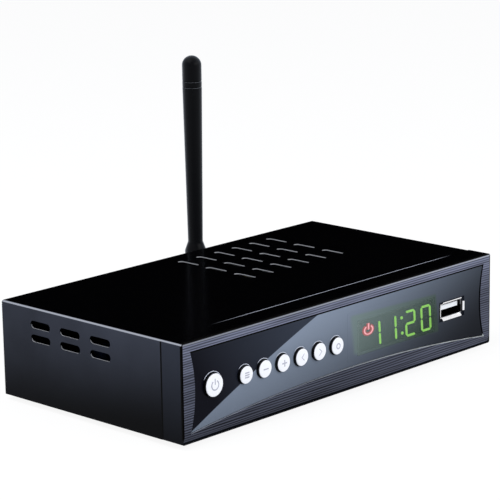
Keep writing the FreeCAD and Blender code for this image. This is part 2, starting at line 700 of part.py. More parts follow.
def front_bezel():
    """Moulded front: open box with a lip and catches for the tray, and bosses for the board."""
    body = new_body("Bezel")
    low, high, half = "ground_gap", "(ground_gap + case_height)", "(case_width / 2)"
    shell = plate(body, "bezel_block", "XZ", "rim_setback", "bezel_depth - rim_setback",
                  f"-{half}", half, low, high)
    dress(body, "Fillet", "bezel_corners", shell, "Y", lambda p: True, "bezel_round")
    cut_out(body, "bezel_hollow", "XZ", BEZEL_BACK, f"bezel_depth - {BEZEL_BACK}", f"-({half} - bezel_wall)",
            f"{half} - bezel_wall", f"{low} + bezel_wall", f"{high} - bezel_wall")
    lip = new_sketch(body, "lip", "XZ", "bezel_depth")
    rectangle(lip, f"-{LIP}", LIP, f"{TRAY} + sheet_gap", f"{CEILING} - sheet_gap")
    rectangle(lip, f"-({LIP} - lip_wall)", f"{LIP} - lip_wall", f"{TRAY} + sheet_gap + lip_wall",
              f"{CEILING} - sheet_gap - lip_wall")
    pad(body, lip, "lip_length")
    catches = new_sketch(body, "catches", "XY", CATCH[2])
    tip = f"({LIP} + sheet_wall)"
    outline(catches, [(LIP, CATCH[0]), (tip, CATCH[0]), (LIP, CATCH[1])])
    outline(catches, [(f"-{LIP}", CATCH[0]), (f"-{tip}", CATCH[0]), (f"-{LIP}", CATCH[1])])
    pad(body, catches, "catch_width")
    rounds(body, "board_bosses", "XZ", BEZEL_BACK, f"front_board_setback - {BEZEL_BACK}",
           [(x, z, "boss_radius") for x, z in BOSSES])
    rounds(body, "boss_holes", "XZ", "front_board_setback + board_wall - screw_length - touch_gap",
           "screw_length", [(x, z, SCREW_HOLE) for x, z in BOSSES], cut=True)
    seat_half = f"({half} - plate_inset)"
    cut_out(body, "plate_seat", "XZ", "rim_setback", "plate_wall - rim_setback",
            f"-{seat_half}", seat_half, f"{low} + plate_inset", f"{high} + plate_inset")
    key_holes(body, "bezel_key_holes", "0", f"{BEZEL_BACK} + touch_gap")
    for name, box in (("display_opening", window_box("-window_ledge")),
                      ("usb_opening", usb_box("hole_gap"))):
        cut_out(body, name, "XZ", "0", f"{BEZEL_BACK} + touch_gap", *box)
    rounds(body, "sensor_opening", "XZ", "0", f"{BEZEL_BACK} + touch_gap",
           [(SENSOR_X, SENSOR_Z, "sensor_radius + hole_gap")], cut=True)
    seat(body, "front_bezel")


def window_box(grow):
    """Sides of the display window, grown all round."""
    return (f"{WINDOW_LEFT} - ({grow})", f"{WINDOW_RIGHT} + ({grow})",
            f"ground_gap + window_level - window_height / 2 - ({grow})",
            f"ground_gap + window_level + window_height / 2 + ({grow})")


def usb_box(grow):
    """Sides of the USB shell, grown all round."""
    return (f"{USB_X} - usb_width / 2 - ({grow})", f"{USB_X} + usb_width / 2 + ({grow})",
            f"ground_gap + usb_level - usb_height / 2 - ({grow})",
            f"ground_gap + usb_level + usb_height / 2 + ({grow})")


def face_plate():
    """Brushed plate up to the bezel's top, with a bevelled foot and an opening for the insert."""
    body = new_body("FacePlate")
    side = "(case_width / 2 - plate_inset - sheet_gap)"
    low = "(ground_gap + plate_inset + sheet_gap)"
    high = "(ground_gap + case_height)"
    plate(body, "plate", "XZ", "0", "plate_wall", f"-{side}", side, low, high)
    bevel = new_sketch(body, "bevel", "YZ", "-case_width / 2")
    outline(bevel, [("0", low), ("bevel_depth", low), ("0", f"{low} + plate_bevel")])
    pocket(body, bevel, "case_width")
    opening = new_sketch(body, "insert_opening", "XZ", "0")
    outline(opening, insert_corners("insert_gap"))
    pocket(body, opening, "plate_wall")
    seat(body, "face_plate")


def fascia_insert():
    body = new_body("Insert")
    setback = "(plate_wall - insert_wall)"
    shape = new_sketch(body, "insert", "XZ", setback)
    outline(shape, insert_corners("0"))
    pad(body, shape, "insert_wall")
    key_holes(body, "insert_key_holes", setback, "insert_wall")
    cut_out(body, "insert_window", "XZ", setback, "insert_wall", *window_box("window_gap"))
    cut_out(body, "insert_usb", "XZ", setback, "insert_wall", *usb_box("usb_flare + usb_mouth_gap"))
    seat(body, "fascia_insert")


def display_window():
    body = new_body("Window")
    plate(body, "window", "XZ", "plate_wall - insert_wall", "insert_wall", *window_box("0"))
    seat(body, "display_window")


def keys():
    """Round keys with a collar behind the bezel and a stem that meets its switch."""
    collar, stem = f"({BEZEL_BACK} + touch_gap)", f"({SWITCH_TIP} - key_travel - touch_gap)"
    for name, x, radius in zip(KEY_NAMES, KEY_X, KEY_RADIUS):
        body = new_body(f"Key_{name}")
        rim = f"({radius} + collar_width)"
        turn(body, f"{name}_key", [
            ("0", "-key_proud"), (f"{radius} - key_edge", "-key_proud", "(cos(45) - 1) * key_edge"),
            (radius, "key_edge - key_proud"), (radius, collar), (rim, collar),
            (rim, f"{collar} + collar_wall"), ("stem_radius", f"{collar} + collar_wall"),
            ("stem_radius", stem), ("0", stem)])
        seat(body, f"{name}_key", x, "0", KEY_LEVEL)


def key_switches():
    for name, x in zip(KEY_NAMES, KEY_X):
        body = new_body(f"Switch_{name}")
        half, front = "(switch_size / 2)", "(front_board_setback - switch_height)"
        case = plate(body, f"{name}_case", "XZ", front, "switch_height", f"-{half}", half, f"-{half}", half)
        dress(body, "Chamfer", f"{name}_corners", case, "Y", lambda p: True, "switch_chamfer")
        rounds(body, f"{name}_plunger", "XZ", SWITCH_TIP, "plunger_length", [("0", "0", "plunger_radius")])
        seat(body, f"{name}_switch", x, "0", KEY_LEVEL)


# -------------------------------------------------------------- front board and parts
BOSSES = [(f"({side}(case_width / 2 - boss_inset))", f"(ground_gap + {level})") for side in ("-", "")
          for level in ("boss_low", "case_height - boss_drop")]


def front_board():
    body = new_body("FrontBoard")
    edge = "(case_width / 2 - bezel_wall - front_board_margin)"
    plate(body, "front_board", "XZ", "front_board_setback", "board_wall", f"-{edge}", edge,
          "ground_gap + bezel_wall + front_board_margin",
          "ground_gap + case_height - bezel_wall - front_board_margin")
    cut_out(body, "usb_notch", "XZ", "front_board_setback", "board_wall", *usb_box("hole_gap"))
    rounds(body, "board_screw_holes", "XZ", "front_board_setback", "board_wall",
           [(x, z, SCREW_HOLE) for x, z in BOSSES], cut=True)
    seat(body, "front_board")


def front_board_screws():
    body = new_body("FrontScrews")
    back = "(front_board_setback + board_wall)"
    rounds(body, "front_shanks", "XZ", f"{back} - screw_length", "screw_length",
           [(x, z, "screw_radius") for x, z in BOSSES])
    rounds(body, "front_heads", "XZ", back, "screw_head_wall", [(x, z, "screw_head") for x, z in BOSSES])
    seat(body, "front_board_screws")


def display_module():
    body = new_body("Display")
    block = plate(body, "display_block", "XZ", "display_setback", "front_board_setback - display_setback",
                  f"{DISPLAY_X} - {DISPLAY_HALF}", f"{DISPLAY_X} + {DISPLAY_HALF}",
                  "ground_gap + display_level - display_height / 2",
                  "ground_gap + display_level + display_height / 2")
    dress(body, "Chamfer", "display_edges", block, "Y", lambda p: True, "display_chamfer")
    seat(body, "display_module")


def segment(sketch, x, z, upright):
    """One pointed bar of a digit, centred on (x, z)."""
    span = "((digit_height - digit_stroke) / 2)" if upright else f"(digit_width * {PRINT} - digit_stroke)"
    end, shoulder = f"({span} / 2 - segment_gap)", f"({span} / 2 - segment_gap - digit_stroke / 2)"
    half = "(digit_stroke / 2)"
    along = [f"-{end}", f"-{shoulder}", shoulder, end, shoulder, f"-{shoulder}"]
    across = ["0", f"-{half}", f"-{half}", "0", half, half]
    bar = zip(across, along) if upright else zip(along, across)
    outline(sketch, [(f"{x} + ({u})", f"{z} + ({v})") for u, v in bar])


def digit_segments():
    """Bars of the four digits and the dots between the pairs."""
    body = new_body("Digits")
    front = "(display_setback - segment_wall)"
    level = "(ground_gap + display_level)"
    bars = new_sketch(body, "digit_bars", "XZ", front)
    middle = f"({DISPLAY_X} + digits_shift * {PRINT})"
    x = f"({middle} - (colon_pitch / 2 + digit_pitch) * {PRINT})"
    side, up = f"((digit_width * {PRINT} - digit_stroke) / 2)", "((digit_height - digit_stroke) / 4)"
    for place in (f"-2 * {up}", "0", f"2 * {up}"):
        segment(bars, x, f"({level} + {place})", False)
    for across in (f"-{side}", side):
        for place in (f"-{up}", up):
            segment(bars, f"({x} + {across})", f"({level} + {place})", True)
    digit = pad(body, bars, "segment_wall")
    grid(body, "digit_places", digit, bars, ("H_Axis", f"(digit_pitch * {PRINT})", "2"),
         ("H_Axis", f"((digit_pitch + colon_pitch) * {PRINT})", "2"))
    rounds(body, "colon", "XZ", front, "segment_wall",
           [(middle, f"{level} {sign} colon_rise", "colon_radius") for sign in "-+"])
    seat(body, "digit_segments")


def standby_indicator():
    body = new_body("Indicator")
    rounds(body, "indicator", "XZ", "display_setback - segment_wall", "segment_wall",
           [(f"{DISPLAY_X} - {DISPLAY_HALF} + indicator_inset * {PRINT}", "ground_gap + indicator_level",
             f"indicator_radius * {PRINT}")])
    seat(body, "standby_indicator")


def infrared_receiver():
    body = new_body("Sensor")
    rounds(body, "sensor_lens", "XZ", "sensor_setback", "front_board_setback - sensor_setback",
           [("0", "0", "sensor_radius")])
    plate(body, "sensor_case", "XZ", f"{BEZEL_BACK} + sensor_gap",
          f"front_board_setback - {BEZEL_BACK} - sensor_gap", "-sensor_size / 2", "sensor_size / 2",
          "-sensor_size / 2", "sensor_size / 2")
    seat(body, "infrared_receiver", SENSOR_X, "0", SENSOR_Z)


def usb_shell():
    """Folded steel shell with a flared lip on each side of its mouth."""
    body = new_body("UsbShell")
    w, hgt = "(usb_width / 2)", "(usb_height / 2)"
    mouth, seam = "usb_setback", "(usb_setback + usb_flare)"
    tube = new_sketch(body, "usb_tube", "XZ", seam)
    rectangle(tube, f"-{w}", w, f"-{hgt}", hgt)
    rectangle(tube, f"-({w} - usb_wall)", f"{w} - usb_wall", f"-({hgt} - usb_wall)", f"{hgt} - usb_wall")
    pad(body, tube, "usb_length - usb_flare")
    for name, sign in (("high", ""), ("low", "-")):
        lip = new_sketch(body, f"usb_{name}_lip", "YZ", f"usb_corner - {w}")
        outline(lip, [(seam, f"{sign}{hgt}"), (mouth, f"{sign}({hgt} + usb_flare)"),
                      (mouth, f"{sign}({hgt} + usb_flare - usb_wall)"), (seam, f"{sign}({hgt} - usb_wall)")])
        pad(body, lip, f"2 * ({w} - usb_corner)")
    for name, sign in (("right", ""), ("left", "-")):
        lip = new_sketch(body, f"usb_{name}_lip", "XY", f"usb_corner - {hgt}")
        outline(lip, [(f"{sign}{w}", seam), (f"{sign}({w} + usb_flare)", mouth),
                      (f"{sign}({w} + usb_flare - usb_wall)", mouth), (f"{sign}({w} - usb_wall)", seam)])
        pad(body, lip, f"2 * ({hgt} - usb_corner)")
    seat(body, "usb_shell", USB_X, "0", "ground_gap + usb_level")


def usb_tongue():
    body = new_body("UsbTongue")
    back = "(usb_setback + usb_length - socket_back)"
    w, hgt = "(usb_width / 2 - usb_wall)", "(usb_height / 2 - usb_wall)"
    plate(body, "usb_block", "XZ", back, "socket_back", f"-{w}", w, f"-{hgt}", hgt)
    plate(body, "usb_blade", "XZ", f"{back} - usb_tongue_length", "usb_tongue_length",
          "-usb_tongue_width / 2", "usb_tongue_width / 2", "usb_tongue_rise - usb_tongue_wall / 2",
          "usb_tongue_rise + usb_tongue_wall / 2")
    seat(body, "usb_tongue", USB_X, "0", "ground_gap + usb_level")


def ribbon_cable():
    """Flat cable from the front board down to the main board."""
    body = new_body("Ribbon")
    start, back = "(front_board_setback + board_wall)", "(board_front + ribbon_inset)"
    level = "(ground_gap + ribbon_level)"
    profile = new_sketch(body, "ribbon", "YZ", "ribbon_x - ribbon_width / 2")
    outline(profile, [(start, level), (back, level), (back, DECK), (f"{back} - ribbon_wall", DECK),
                      (f"{back} - ribbon_wall", f"{level} - ribbon_wall"), (start, f"{level} - ribbon_wall")])
    strip = pad(body, profile, "ribbon_width")
    outer = dress(body, "Fillet", "ribbon_outer_bend", strip, "X",
                  lambda p: near(p.z, level) and near(p.y, back), "ribbon_bend")
    dress(body, "Fillet", "ribbon_inner_bend", outer, "X",
          lambda p: near(p.z, f"{level} - ribbon_wall") and near(p.y, f"{back} - ribbon_wall"),
          "ribbon_bend - ribbon_wall")
    seat(body, "ribbon_cable")


# --------------------------------------------------------------- main board and parts
STANDOFFS = [(f"({side}(case_width / 2 - standoff_inset))", y) for side in ("-", "")
             for y in ("standoff_front", f"({SOCKETS} - tuner_length - standoff_lead)")]


def main_board():
    body = new_body("MainBoard")
    edge = f"({INSIDE} - sheet_wall - board_margin)"
    plate(body, "main_board", "XY", BOARD, "board_wall", f"-{edge}", edge,
          "board_front", f"{REAR_INSIDE} - board_rear_gap")
    rounds(body, "main_screw_holes", "XY", BOARD, "board_wall",
           [(x, y, SCREW_HOLE) for x, y in STANDOFFS], cut=True)
    seat(body, "main_board")


def board_standoffs():
    body = new_body("Standoffs")
    rounds(body, "standoffs", "XY", TRAY, "standoff_height",
           [(x, y, "standoff_radius") for x, y in STANDOFFS])
    rounds(body, "standoff_holes", "XY", f"{DECK} - screw_length", "screw_length",
           [(x, y, SCREW_HOLE) for x, y in STANDOFFS], cut=True)
    seat(body, "board_standoffs")


def board_screws():
    body = new_body("BoardScrews")
    rounds(body, "board_shanks", "XY", f"{DECK} - screw_length + touch_gap", "screw_length - touch_gap",
           [(x, y, "screw_radius") for x, y in STANDOFFS])
    rounds(body, "board_heads", "XY", DECK, "screw_head_wall", [(x, y, "screw_head") for x, y in STANDOFFS])
    seat(body, "board_screws")


def tuner_can():
    """Screening can of the tuner, with a lid pressed over it."""
    body = new_body("Tuner")
    left, right = f"({TUNER_X} - tuner_width / 2)", f"({TUNER_X} + tuner_width / 2)"
    can = plate(body, "tuner_box", "XY", DECK, "tuner_height", left, right,
                f"{SOCKETS} - tuner_length", SOCKETS)
    dress(body, "Fillet", "tuner_corners", can, "Z", lambda p: True, "tuner_round")
    plate(body, "tuner_lid", "XY", f"{DECK} + tuner_height", "sheet_wall", f"{left} + tuner_round",
          f"{right} - tuner_round", f"{SOCKETS} - tuner_length + tuner_round", f"{SOCKETS} - tuner_round")
    seat(body, "tuner_can")


def lnb_connectors():
    """Threaded coaxial connectors with a hexagon against the rear wall."""
    end = "(case_depth + lnb_reach)"
    floor = f"({end} - lnb_recess)"
    for name, x in zip(("lnb_loop", "lnb_input"), TUNER_JACKS):
        body = new_body(name)
        turn(body, f"{name}_barrel", [
            ("0", SOCKETS), ("lnb_radius", SOCKETS), ("lnb_radius", end), ("lnb_bore", end),
            ("lnb_bore", floor), ("lnb_pin_hole", floor), ("lnb_pin_hole", f"{floor} - lnb_pin_depth"),
            ("0", f"{floor} - lnb_pin_depth")])
        nut = new_sketch(body, f"{name}_hexagon", "XZ", REAR)
        hexagon(nut, "0", "0", "lnb_hex")
        pad(body, nut, "lnb_hex_wall")
        seat(body, f"{name}_connector", x, "0", LNB_Z)


def av_block():
    body = new_body("AvBlock")
    top = f"({AV_HIGH} + av_head)"
    block = plate(body, "av_box", "XZ", f"{SOCKETS} - av_length", "av_length", f"{AV_X} - av_width / 2",
                  f"{AV_X} + av_width / 2", DECK, top)
    dress(body, "Chamfer", "av_edges", block, "X", lambda p: near(p.z, top), "av_chamfer")
    seat(body, "av_block")


def phono_jacks():
    """Metal barrels as one group, and the coloured insert of each."""
    body = new_body("PhonoBarrels")
    rings = new_sketch(body, "phono_rings", "XZ", SOCKETS)
    for x, z in AV_JACKS:
        circle(rings, x, z, "jack_radius")
        circle(rings, x, z, "jack_radius - jack_wall")
    pad(body, rings, f"case_depth + jack_reach - {SOCKETS}")
    seat(body, "phono_barrels")
    end = "(case_depth + jack_reach - jack_inset)"
    outer = "(jack_radius - jack_wall - jack_fit)"
    for name, (x, z) in zip(("left_audio", "right_audio", "video", "digital_audio"), AV_JACKS):
        body = new_body(name)
        turn(body, f"{name}_insert", [
            ("0", SOCKETS), (outer, SOCKETS), (outer, end), ("jack_hole", end),
            ("jack_hole", f"{end} - jack_hole_depth"), ("0", f"{end} - jack_hole_depth")])
        seat(body, f"{name}_jack", x, "0", z)


def hdmi_outline(sketch, grow):
    w, hgt = f"(hdmi_width / 2 + ({grow}))", f"(hdmi_height / 2 + ({grow}))"
    outline(sketch, [(f"-{w}", hgt), (f"-{w}", f"hdmi_slope - {hgt}"), (f"hdmi_slope - {w}", f"-{hgt}"),
                     (f"{w} - hdmi_slope", f"-{hgt}"), (w, f"hdmi_slope - {hgt}"), (w, hgt)])


def hdmi_socket():
    shell = new_body("HdmiShell")
    start, end = f"({SOCKETS} - hdmi_length)", f"({REAR} + socket_reach)"
    tube = new_sketch(shell, "hdmi_tube", "XZ", start)
    hdmi_outline(tube, "0")
    hdmi_outline(tube, "-hdmi_wall")
    pad(shell, tube, f"{end} - {start}")
    seat(shell, "hdmi_shell", HDMI_X, "0", HDMI_Z)
    tongue = new_body("HdmiTongue")
    back = new_sketch(tongue, "hdmi_block", "XZ", start)
    hdmi_outline(back, "-hdmi_wall")
    pad(tongue, back, "socket_back")
    plate(tongue, "hdmi_blade", "XZ", start, f"{end} - {start} - hdmi_tongue_inset", "-hdmi_tongue_width / 2",
          "hdmi_tongue_width / 2", "-hdmi_tongue_wall / 2", "hdmi_tongue_wall / 2")
    seat(tongue, "hdmi_tongue", HDMI_X, "0", HDMI_Z)


def power_inlet():
    """Barrel socket with its centre pin."""
    body = new_body("Inlet")
    half, end = "(inlet_width / 2)", f"({REAR} + socket_reach)"
    block = plate(body, "inlet_block", "XZ", f"{SOCKETS} - inlet_length", f"{end} - {SOCKETS} + inlet_length",
                  f"-{half}", half, "-inlet_level", "inlet_height - inlet_level")
    dress(body, "Fillet", "inlet_shoulders", block, "Y",
          lambda p: near(p.z, "inlet_height - inlet_level"), "inlet_round")
    ring = new_sketch(body, "inlet_ring", "XZ", f"{end} - inlet_depth")
    circle(ring, "0", "0", "inlet_bore")
    circle(ring, "0", "0", "inlet_pin")
    pocket(body, ring, "inlet_depth")
    seat(body, "power_inlet", INLET_X, "0", INLET_Z)


# --------------------------------------------------------------------- rocker switch
ROCKER_Y = f"({REAR} + rocker_rim_wall - rocker_seat)"


def rocker_housing():
    body = new_body("RockerHousing")
    plate(body, "rocker_body", "XZ", f"{REAR} - rocker_body", "rocker_body",
          f"-{HOUSING_X}", HOUSING_X, f"-{HOUSING_Z}", HOUSING_Z)
    rim_x, rim_z = f"({HOUSING_X} + rocker_rim)", f"({HOUSING_Z} + rocker_rim)"
    rim = plate(body, "rocker_rim", "XZ", REAR, "rocker_rim_wall", f"-{rim_x}", rim_x, f"-{rim_z}", rim_z)
    dress(body, "Fillet", "rocker_rim_corners", rim, "Y",
          lambda p: near(abs(p.x), rim_x) and near(abs(p.z), rim_z), "rocker_rim")
    well_x, well_z = f"({HOUSING_X} - rocker_frame)", f"({HOUSING_Z} - rocker_frame)"
    cut_out(body, "rocker_well", "XZ", f"{ROCKER_Y} - {DIP}", f"{DIP} + rocker_seat",
            f"-{well_x}", well_x, f"-{well_z}", well_z)
    rounds(body, "rocker_pivot_holes", "YZ", f"-{HOUSING_X}", f"2 * {HOUSING_X}",
           [(ROCKER_Y, "0", "rocker_pin + pin_gap")], cut=True)
    seat(body, "rocker_housing", ROCKER_X, "0", ROCKER_Z)


def rocker():
    """Two-faced rocker on stub pins, tipped against one stop."""
    body = new_body("Rocker")
    half = "(rocker_width / 2)"
    face = new_sketch(body, "rocker_profile", "YZ", f"-{half}")
    outline(face, [("-rocker_root", "-rocker_half"), ("rocker_peak", "-rocker_half"), ("rocker_dip", "0"),
                   ("rocker_peak", "rocker_half"), ("-rocker_root", "rocker_half")])
    pad(body, face, "rocker_width")
    reach = f"({half} + rocker_pin_length)"
    rounds(body, "rocker_pins", "YZ", f"-{reach}", f"2 * {reach}", [("0", "0", "rocker_pin")])
    body.Placement = FreeCAD.Placement(FreeCAD.Vector(), FreeCAD.Rotation(FreeCAD.Vector(1, 0, 0), 1))
    bind(body, **{"Placement.Rotation.Angle": "rocker_throw / 2"})
    seat(body, "rocker", ROCKER_X, ROCKER_Y, ROCKER_Z)


# --------------------------------------------------------------------------- antenna
def antenna_mount():
    jack = new_body("AntennaJack")
    rounds(jack, "jack_thread", "XZ", f"{REAR_INSIDE} - jack_tail",
           f"{REAR} + jack_thread_length - {REAR_INSIDE} + jack_tail", [("0", "0", "jack_thread")])
    flange = new_sketch(jack, "jack_flange", "XZ", f"{REAR_INSIDE} - nut_wall")
    hexagon(flange, "0", "0", "nut_radius")
    pad(jack, flange, "nut_wall")
    seat(jack, "antenna_jack", ANTENNA_X, "0", "antenna_level")
    nut = new_body("AntennaNut")
    ring = new_sketch(nut, "nut_ring", "XZ", REAR)
    hexagon(ring, "0", "0", "nut_radius")
    circle(ring, "0", "0", "jack_thread + screw_gap")
    pad(nut, ring, "nut_wall")
    seat(nut, "antenna_nut", ANTENNA_X, "0", "antenna_level")


def rod(name, axis, start, length, radius, y="0"):
    """A cylinder along X or Y, in the antenna's own frame."""
    thing = doc.addObject("Part::Cylinder", name)
    direction = FreeCAD.Vector(1, 0, 0) if axis == "X" else FreeCAD.Vector(0, 1, 0)
    thing.Placement = FreeCAD.Placement(
        FreeCAD.Vector(), FreeCAD.Rotation(FreeCAD.Vector(0, 0, 1), direction))
    bind(thing, Radius=radius, Height=length)
    base = {"X": (start, y), "Y": ("0", start)}[axis]
    bind(thing, **{"Placement.Base.x": base[0], "Placement.Base.y": base[1]})
    return thing


def antenna_swivel():
    """Collar that turns on the jack, with a fork for the whip's eye."""
    start, end = f"({REAR} + nut_wall + swivel_lead)", f"({PIVOT} + swivel_radius)"
    bore_end = f"({REAR} + jack_thread_length + swivel_lead)"
    round_bar = rod("swivel_bar", "Y", start, f"{end} - {start}", "swivel_radius")
    block = doc.addObject("Part::Box", "swivel_block")
    bind(block, Length="2 * swivel_radius", Width=f"{PIVOT} - {start}", Height="2 * swivel_radius")
    bind(block, **{"Placement.Base.x": "-swivel_radius", "Placement.Base.y": start,
                   "Placement.Base.z": "-swivel_radius"})
    knuckle = rod("swivel_knuckle", "X", "-swivel_radius", "2 * swivel_radius", "swivel_radius", PIVOT)
    envelope = doc.addObject("Part::MultiFuse", "swivel_envelope")
    envelope.Shapes = [block, knuckle]
    solid = doc.addObject("Part::MultiCommon", "swivel_solid")
    solid.Shapes = [round_bar, envelope]
    bore = rod("swivel_bore", "Y", start, f"{bore_end} - {start}", "jack_thread + swivel_gap")
    slot = doc.addObject("Part::Box", "swivel_slot")
    slot_half = "(eye_wall / 2 + fork_gap)"
    bind(slot, Length=f"2 * {slot_half}", Width="collar_end + 2 * swivel_radius", Height="2 * swivel_radius")
    bind(slot, **{"Placement.Base.x": f"-{slot_half}", "Placement.Base.y": f"{PIVOT} - collar_end",
                  "Placement.Base.z": "-swivel_radius"})
    pin_hole = rod("swivel_pin_hole", "X", "-swivel_radius", "2 * swivel_radius",
                   "hinge_pin + hinge_fit", PIVOT)
    hollows = doc.addObject("Part::MultiFuse", "swivel_hollows")
    hollows.Shapes = [bore, slot, pin_hole]
    swivel = doc.addObject("Part::Cut", "Swivel")
    swivel.Base, swivel.Tool = solid, hollows
    seat(swivel, "antenna_swivel", ANTENNA_X, "0", "antenna_level")
    pin = rod("HingePin", "X", "0", "2 * (swivel_radius - sheet_gap)", "hinge_pin")
    seat(pin, "antenna_pin", f"{ANTENNA_X} - swivel_radius + sheet_gap", PIVOT, "antenna_level")


def antenna_whip():
    """Whip with an eye between the fork's cheeks, a skirt above it and rings near the tip."""
    body = new_body("Whip")
    skirt = "(swivel_radius + swivel_lead)"
    groove = "(whip_length - groove_from_tip)"
    taper = f"((tip_radius - neck_radius) / ({groove} - neck_start))"
    corners = [("0", skirt), ("skirt_radius", skirt), ("skirt_radius", f"{skirt} + skirt_length"),
               ("neck_radius", "neck_start")]
    for start in (f"({groove} - groove_pitch)", groove):
        ring = "(tip_radius - groove_depth)"
        at = "tip_radius" if start == groove else f"(tip_radius - {taper} * groove_pitch)"
        corners += [(at, start), (ring, start), (ring, f"{start} + groove_width"),
                    ("tip_radius", f"{start} + groove_width")]
    corners += [("tip_radius", "whip_length - tip_round", "-tip_bow"), ("tip_flat", "whip_length"),
                ("0", "whip_length")]
    turn(body, "whip_profile", corners, plane="XZ")
    half = "(eye_wall / 2)"
    rounds(body, "eye", "YZ", f"-{half}", "eye_wall", [("0", "0", "eye_radius")])
    plate(body, "eye_neck", "YZ", f"-{half}", "eye_wall", "-neck_radius", "neck_radius", "0",
          f"{skirt} + skirt_length / 2")
    rounds(body, "eye_hole", "YZ", f"-{half}", "eye_wall", [("0", "0", "hinge_pin + hinge_gap")], cut=True)
    seat(body, "antenna_whip", ANTENNA_X, PIVOT, "antenna_level")


# ------------------------------------------------------------------ feet and the rest
def feet():
    for name, x, y in (("front_left", "-", "foot_inset"), ("front_right", "", "foot_inset"),
                       ("rear_left", "-", "(case_depth - foot_inset)"),
                       ("rear_right", "", "(case_depth - foot_inset)")):
        body = new_body(f"Foot_{name}")
        turn(body, f"{name}_foot", [
            ("0", "0"), ("foot_radius - foot_edge", "0"), ("foot_radius", "foot_edge"),
            ("foot_radius", UNDER), ("0", UNDER)], plane="XZ")
        seat(body, f"foot_{name}", f"{x}(case_width / 2 - foot_inset)", y)


def cover_screws():
    body = new_body("CoverScrews")
    rounds(body, "cover_shanks", "XZ", "case_depth - screw_length", "screw_length",
           [(x, z, "screw_radius") for x, z in COVER_SCREWS])
    rounds(body, "cover_heads", "XZ", "case_depth", "screw_head_wall",
           [(x, z, "screw_head") for x, z in COVER_SCREWS])
    seat(body, "cover_screws")


def board_chips():
    chip = new_body("Processor")
    half = "(chip_size / 2)"
    plate(chip, "processor", "XY", DECK, "chip_wall", f"chip_x - {half}", f"chip_x + {half}",
          f"chip_y - {half}", f"chip_y + {half}")
    seat(chip, "processor")
    memory = new_body("Memory")
    sketch = new_sketch(memory, "memory_pair", "XY", DECK)
    for sign in "-+":
        x = f"(chip_x {sign} memory_pitch)"
        rectangle(sketch, f"{x} - memory_width / 2", f"{x} + memory_width / 2",
                  "chip_y - memory_length / 2", "chip_y + memory_length / 2")
    pad(memory, sketch, "memory_wall")
    seat(memory, "memory_chips")


def heat_sink():
    """Extruded sink: a comb of fins on a base."""
    body = new_body("HeatSink")
    base = f"({DECK} + chip_wall)"
    half, root = "(sink_size / 2)", f"({base} + sink_base)"
    comb = [(f"chip_x + {half}", base), (f"chip_x + {half}", root)]
    for n in reversed(range(int(number("fin_count")))):
        middle = f"(chip_x + ({n} - (fin_count - 1) / 2) * fin_pitch)"
        comb += [(f"{middle} + fin_wall / 2", root), (f"{middle} + fin_wall / 2", f"{base} + sink_height"),
                 (f"{middle} - fin_wall / 2", f"{base} + sink_height"), (f"{middle} - fin_wall / 2", root)]
    comb += [(f"chip_x - {half}", root), (f"chip_x - {half}", base)]
    profile = new_sketch(body, "fins", "XZ", f"chip_y - {half}")
    outline(profile, comb)
    pad(body, profile, "sink_size")
    seat(body, "heat_sink")


def capacitors():
    body = new_body("Capacitors")
    rounds(body, "cans", "XY", DECK, "capacitor_height",
           [("capacitor_inset - case_width / 2", f"capacitor_y + {n} * capacitor_pitch", "capacitor_radius")
            for n in range(int(number("capacitor_count")))])
    seat(body, "capacitors")


# ----------------------------------------------------------------- build and write out
for make in (top_cover, base_tray, front_bezel, face_plate, fascia_insert, display_window, keys,
             key_switches, front_board, front_board_screws, display_module, digit_segments,
             standby_indicator, infrared_receiver, usb_shell, usb_tongue, ribbon_cable, main_board,
             board_standoffs, board_screws, tuner_can, lnb_connectors, av_block, phono_jacks,
             hdmi_socket, power_inlet, rocker_housing, rocker, antenna_mount, antenna_swivel,
             antenna_whip, feet, cover_screws, board_chips, heat_sink, capacitors):
    make()
    doc.recompute()

for thing in doc.Objects:
    if "Invalid" in thing.State or "Error" in thing.State:
        raise RuntimeError(f"{thing.Name} failed: {thing.State}")
    if thing.TypeId == "PartDesign::Pocket":
        if thing.Shape.Volume > thing.BaseFeature.Shape.Volume - 1e-6:
            raise RuntimeError(f"{thing.Name} cuts nothing")
for node in NODES:
    if node.Shape.isNull() or not node.Shape.isValid():
        raise RuntimeError(f"{node.Label} has no valid shape")

os.makedirs("parts", exist_ok=True)
for node in NODES:
    node.Shape.exportStep(f"parts/{node.Label}.step")
print(len(NODES), "nodes")
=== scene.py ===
import functools
import json
import math

import bmesh
import bpy
from bpy.props import FloatProperty, FloatVectorProperty, IntProperty, PointerProperty
from mathutils import Matrix, Vector
from mathutils.bvhtree import BVHTree


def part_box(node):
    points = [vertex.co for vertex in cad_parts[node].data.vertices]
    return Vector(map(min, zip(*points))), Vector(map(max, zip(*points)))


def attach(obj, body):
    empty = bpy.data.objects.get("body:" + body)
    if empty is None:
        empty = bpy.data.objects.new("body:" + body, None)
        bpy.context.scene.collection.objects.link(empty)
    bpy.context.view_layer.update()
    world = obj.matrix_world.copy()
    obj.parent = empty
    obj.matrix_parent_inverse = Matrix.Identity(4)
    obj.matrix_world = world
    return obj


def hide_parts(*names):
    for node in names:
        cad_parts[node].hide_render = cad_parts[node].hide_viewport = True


bl_info = {
    "name": "Set-Top Receiver",
    "version": (1, 0, 0),
    "blender": (4, 5, 0),
    "location": "3D View > Sidebar > Receiver",
    "description": "Dresses the packed receiver with sheet metal, mouldings, sockets and finishes",
    "category": "Object",
}

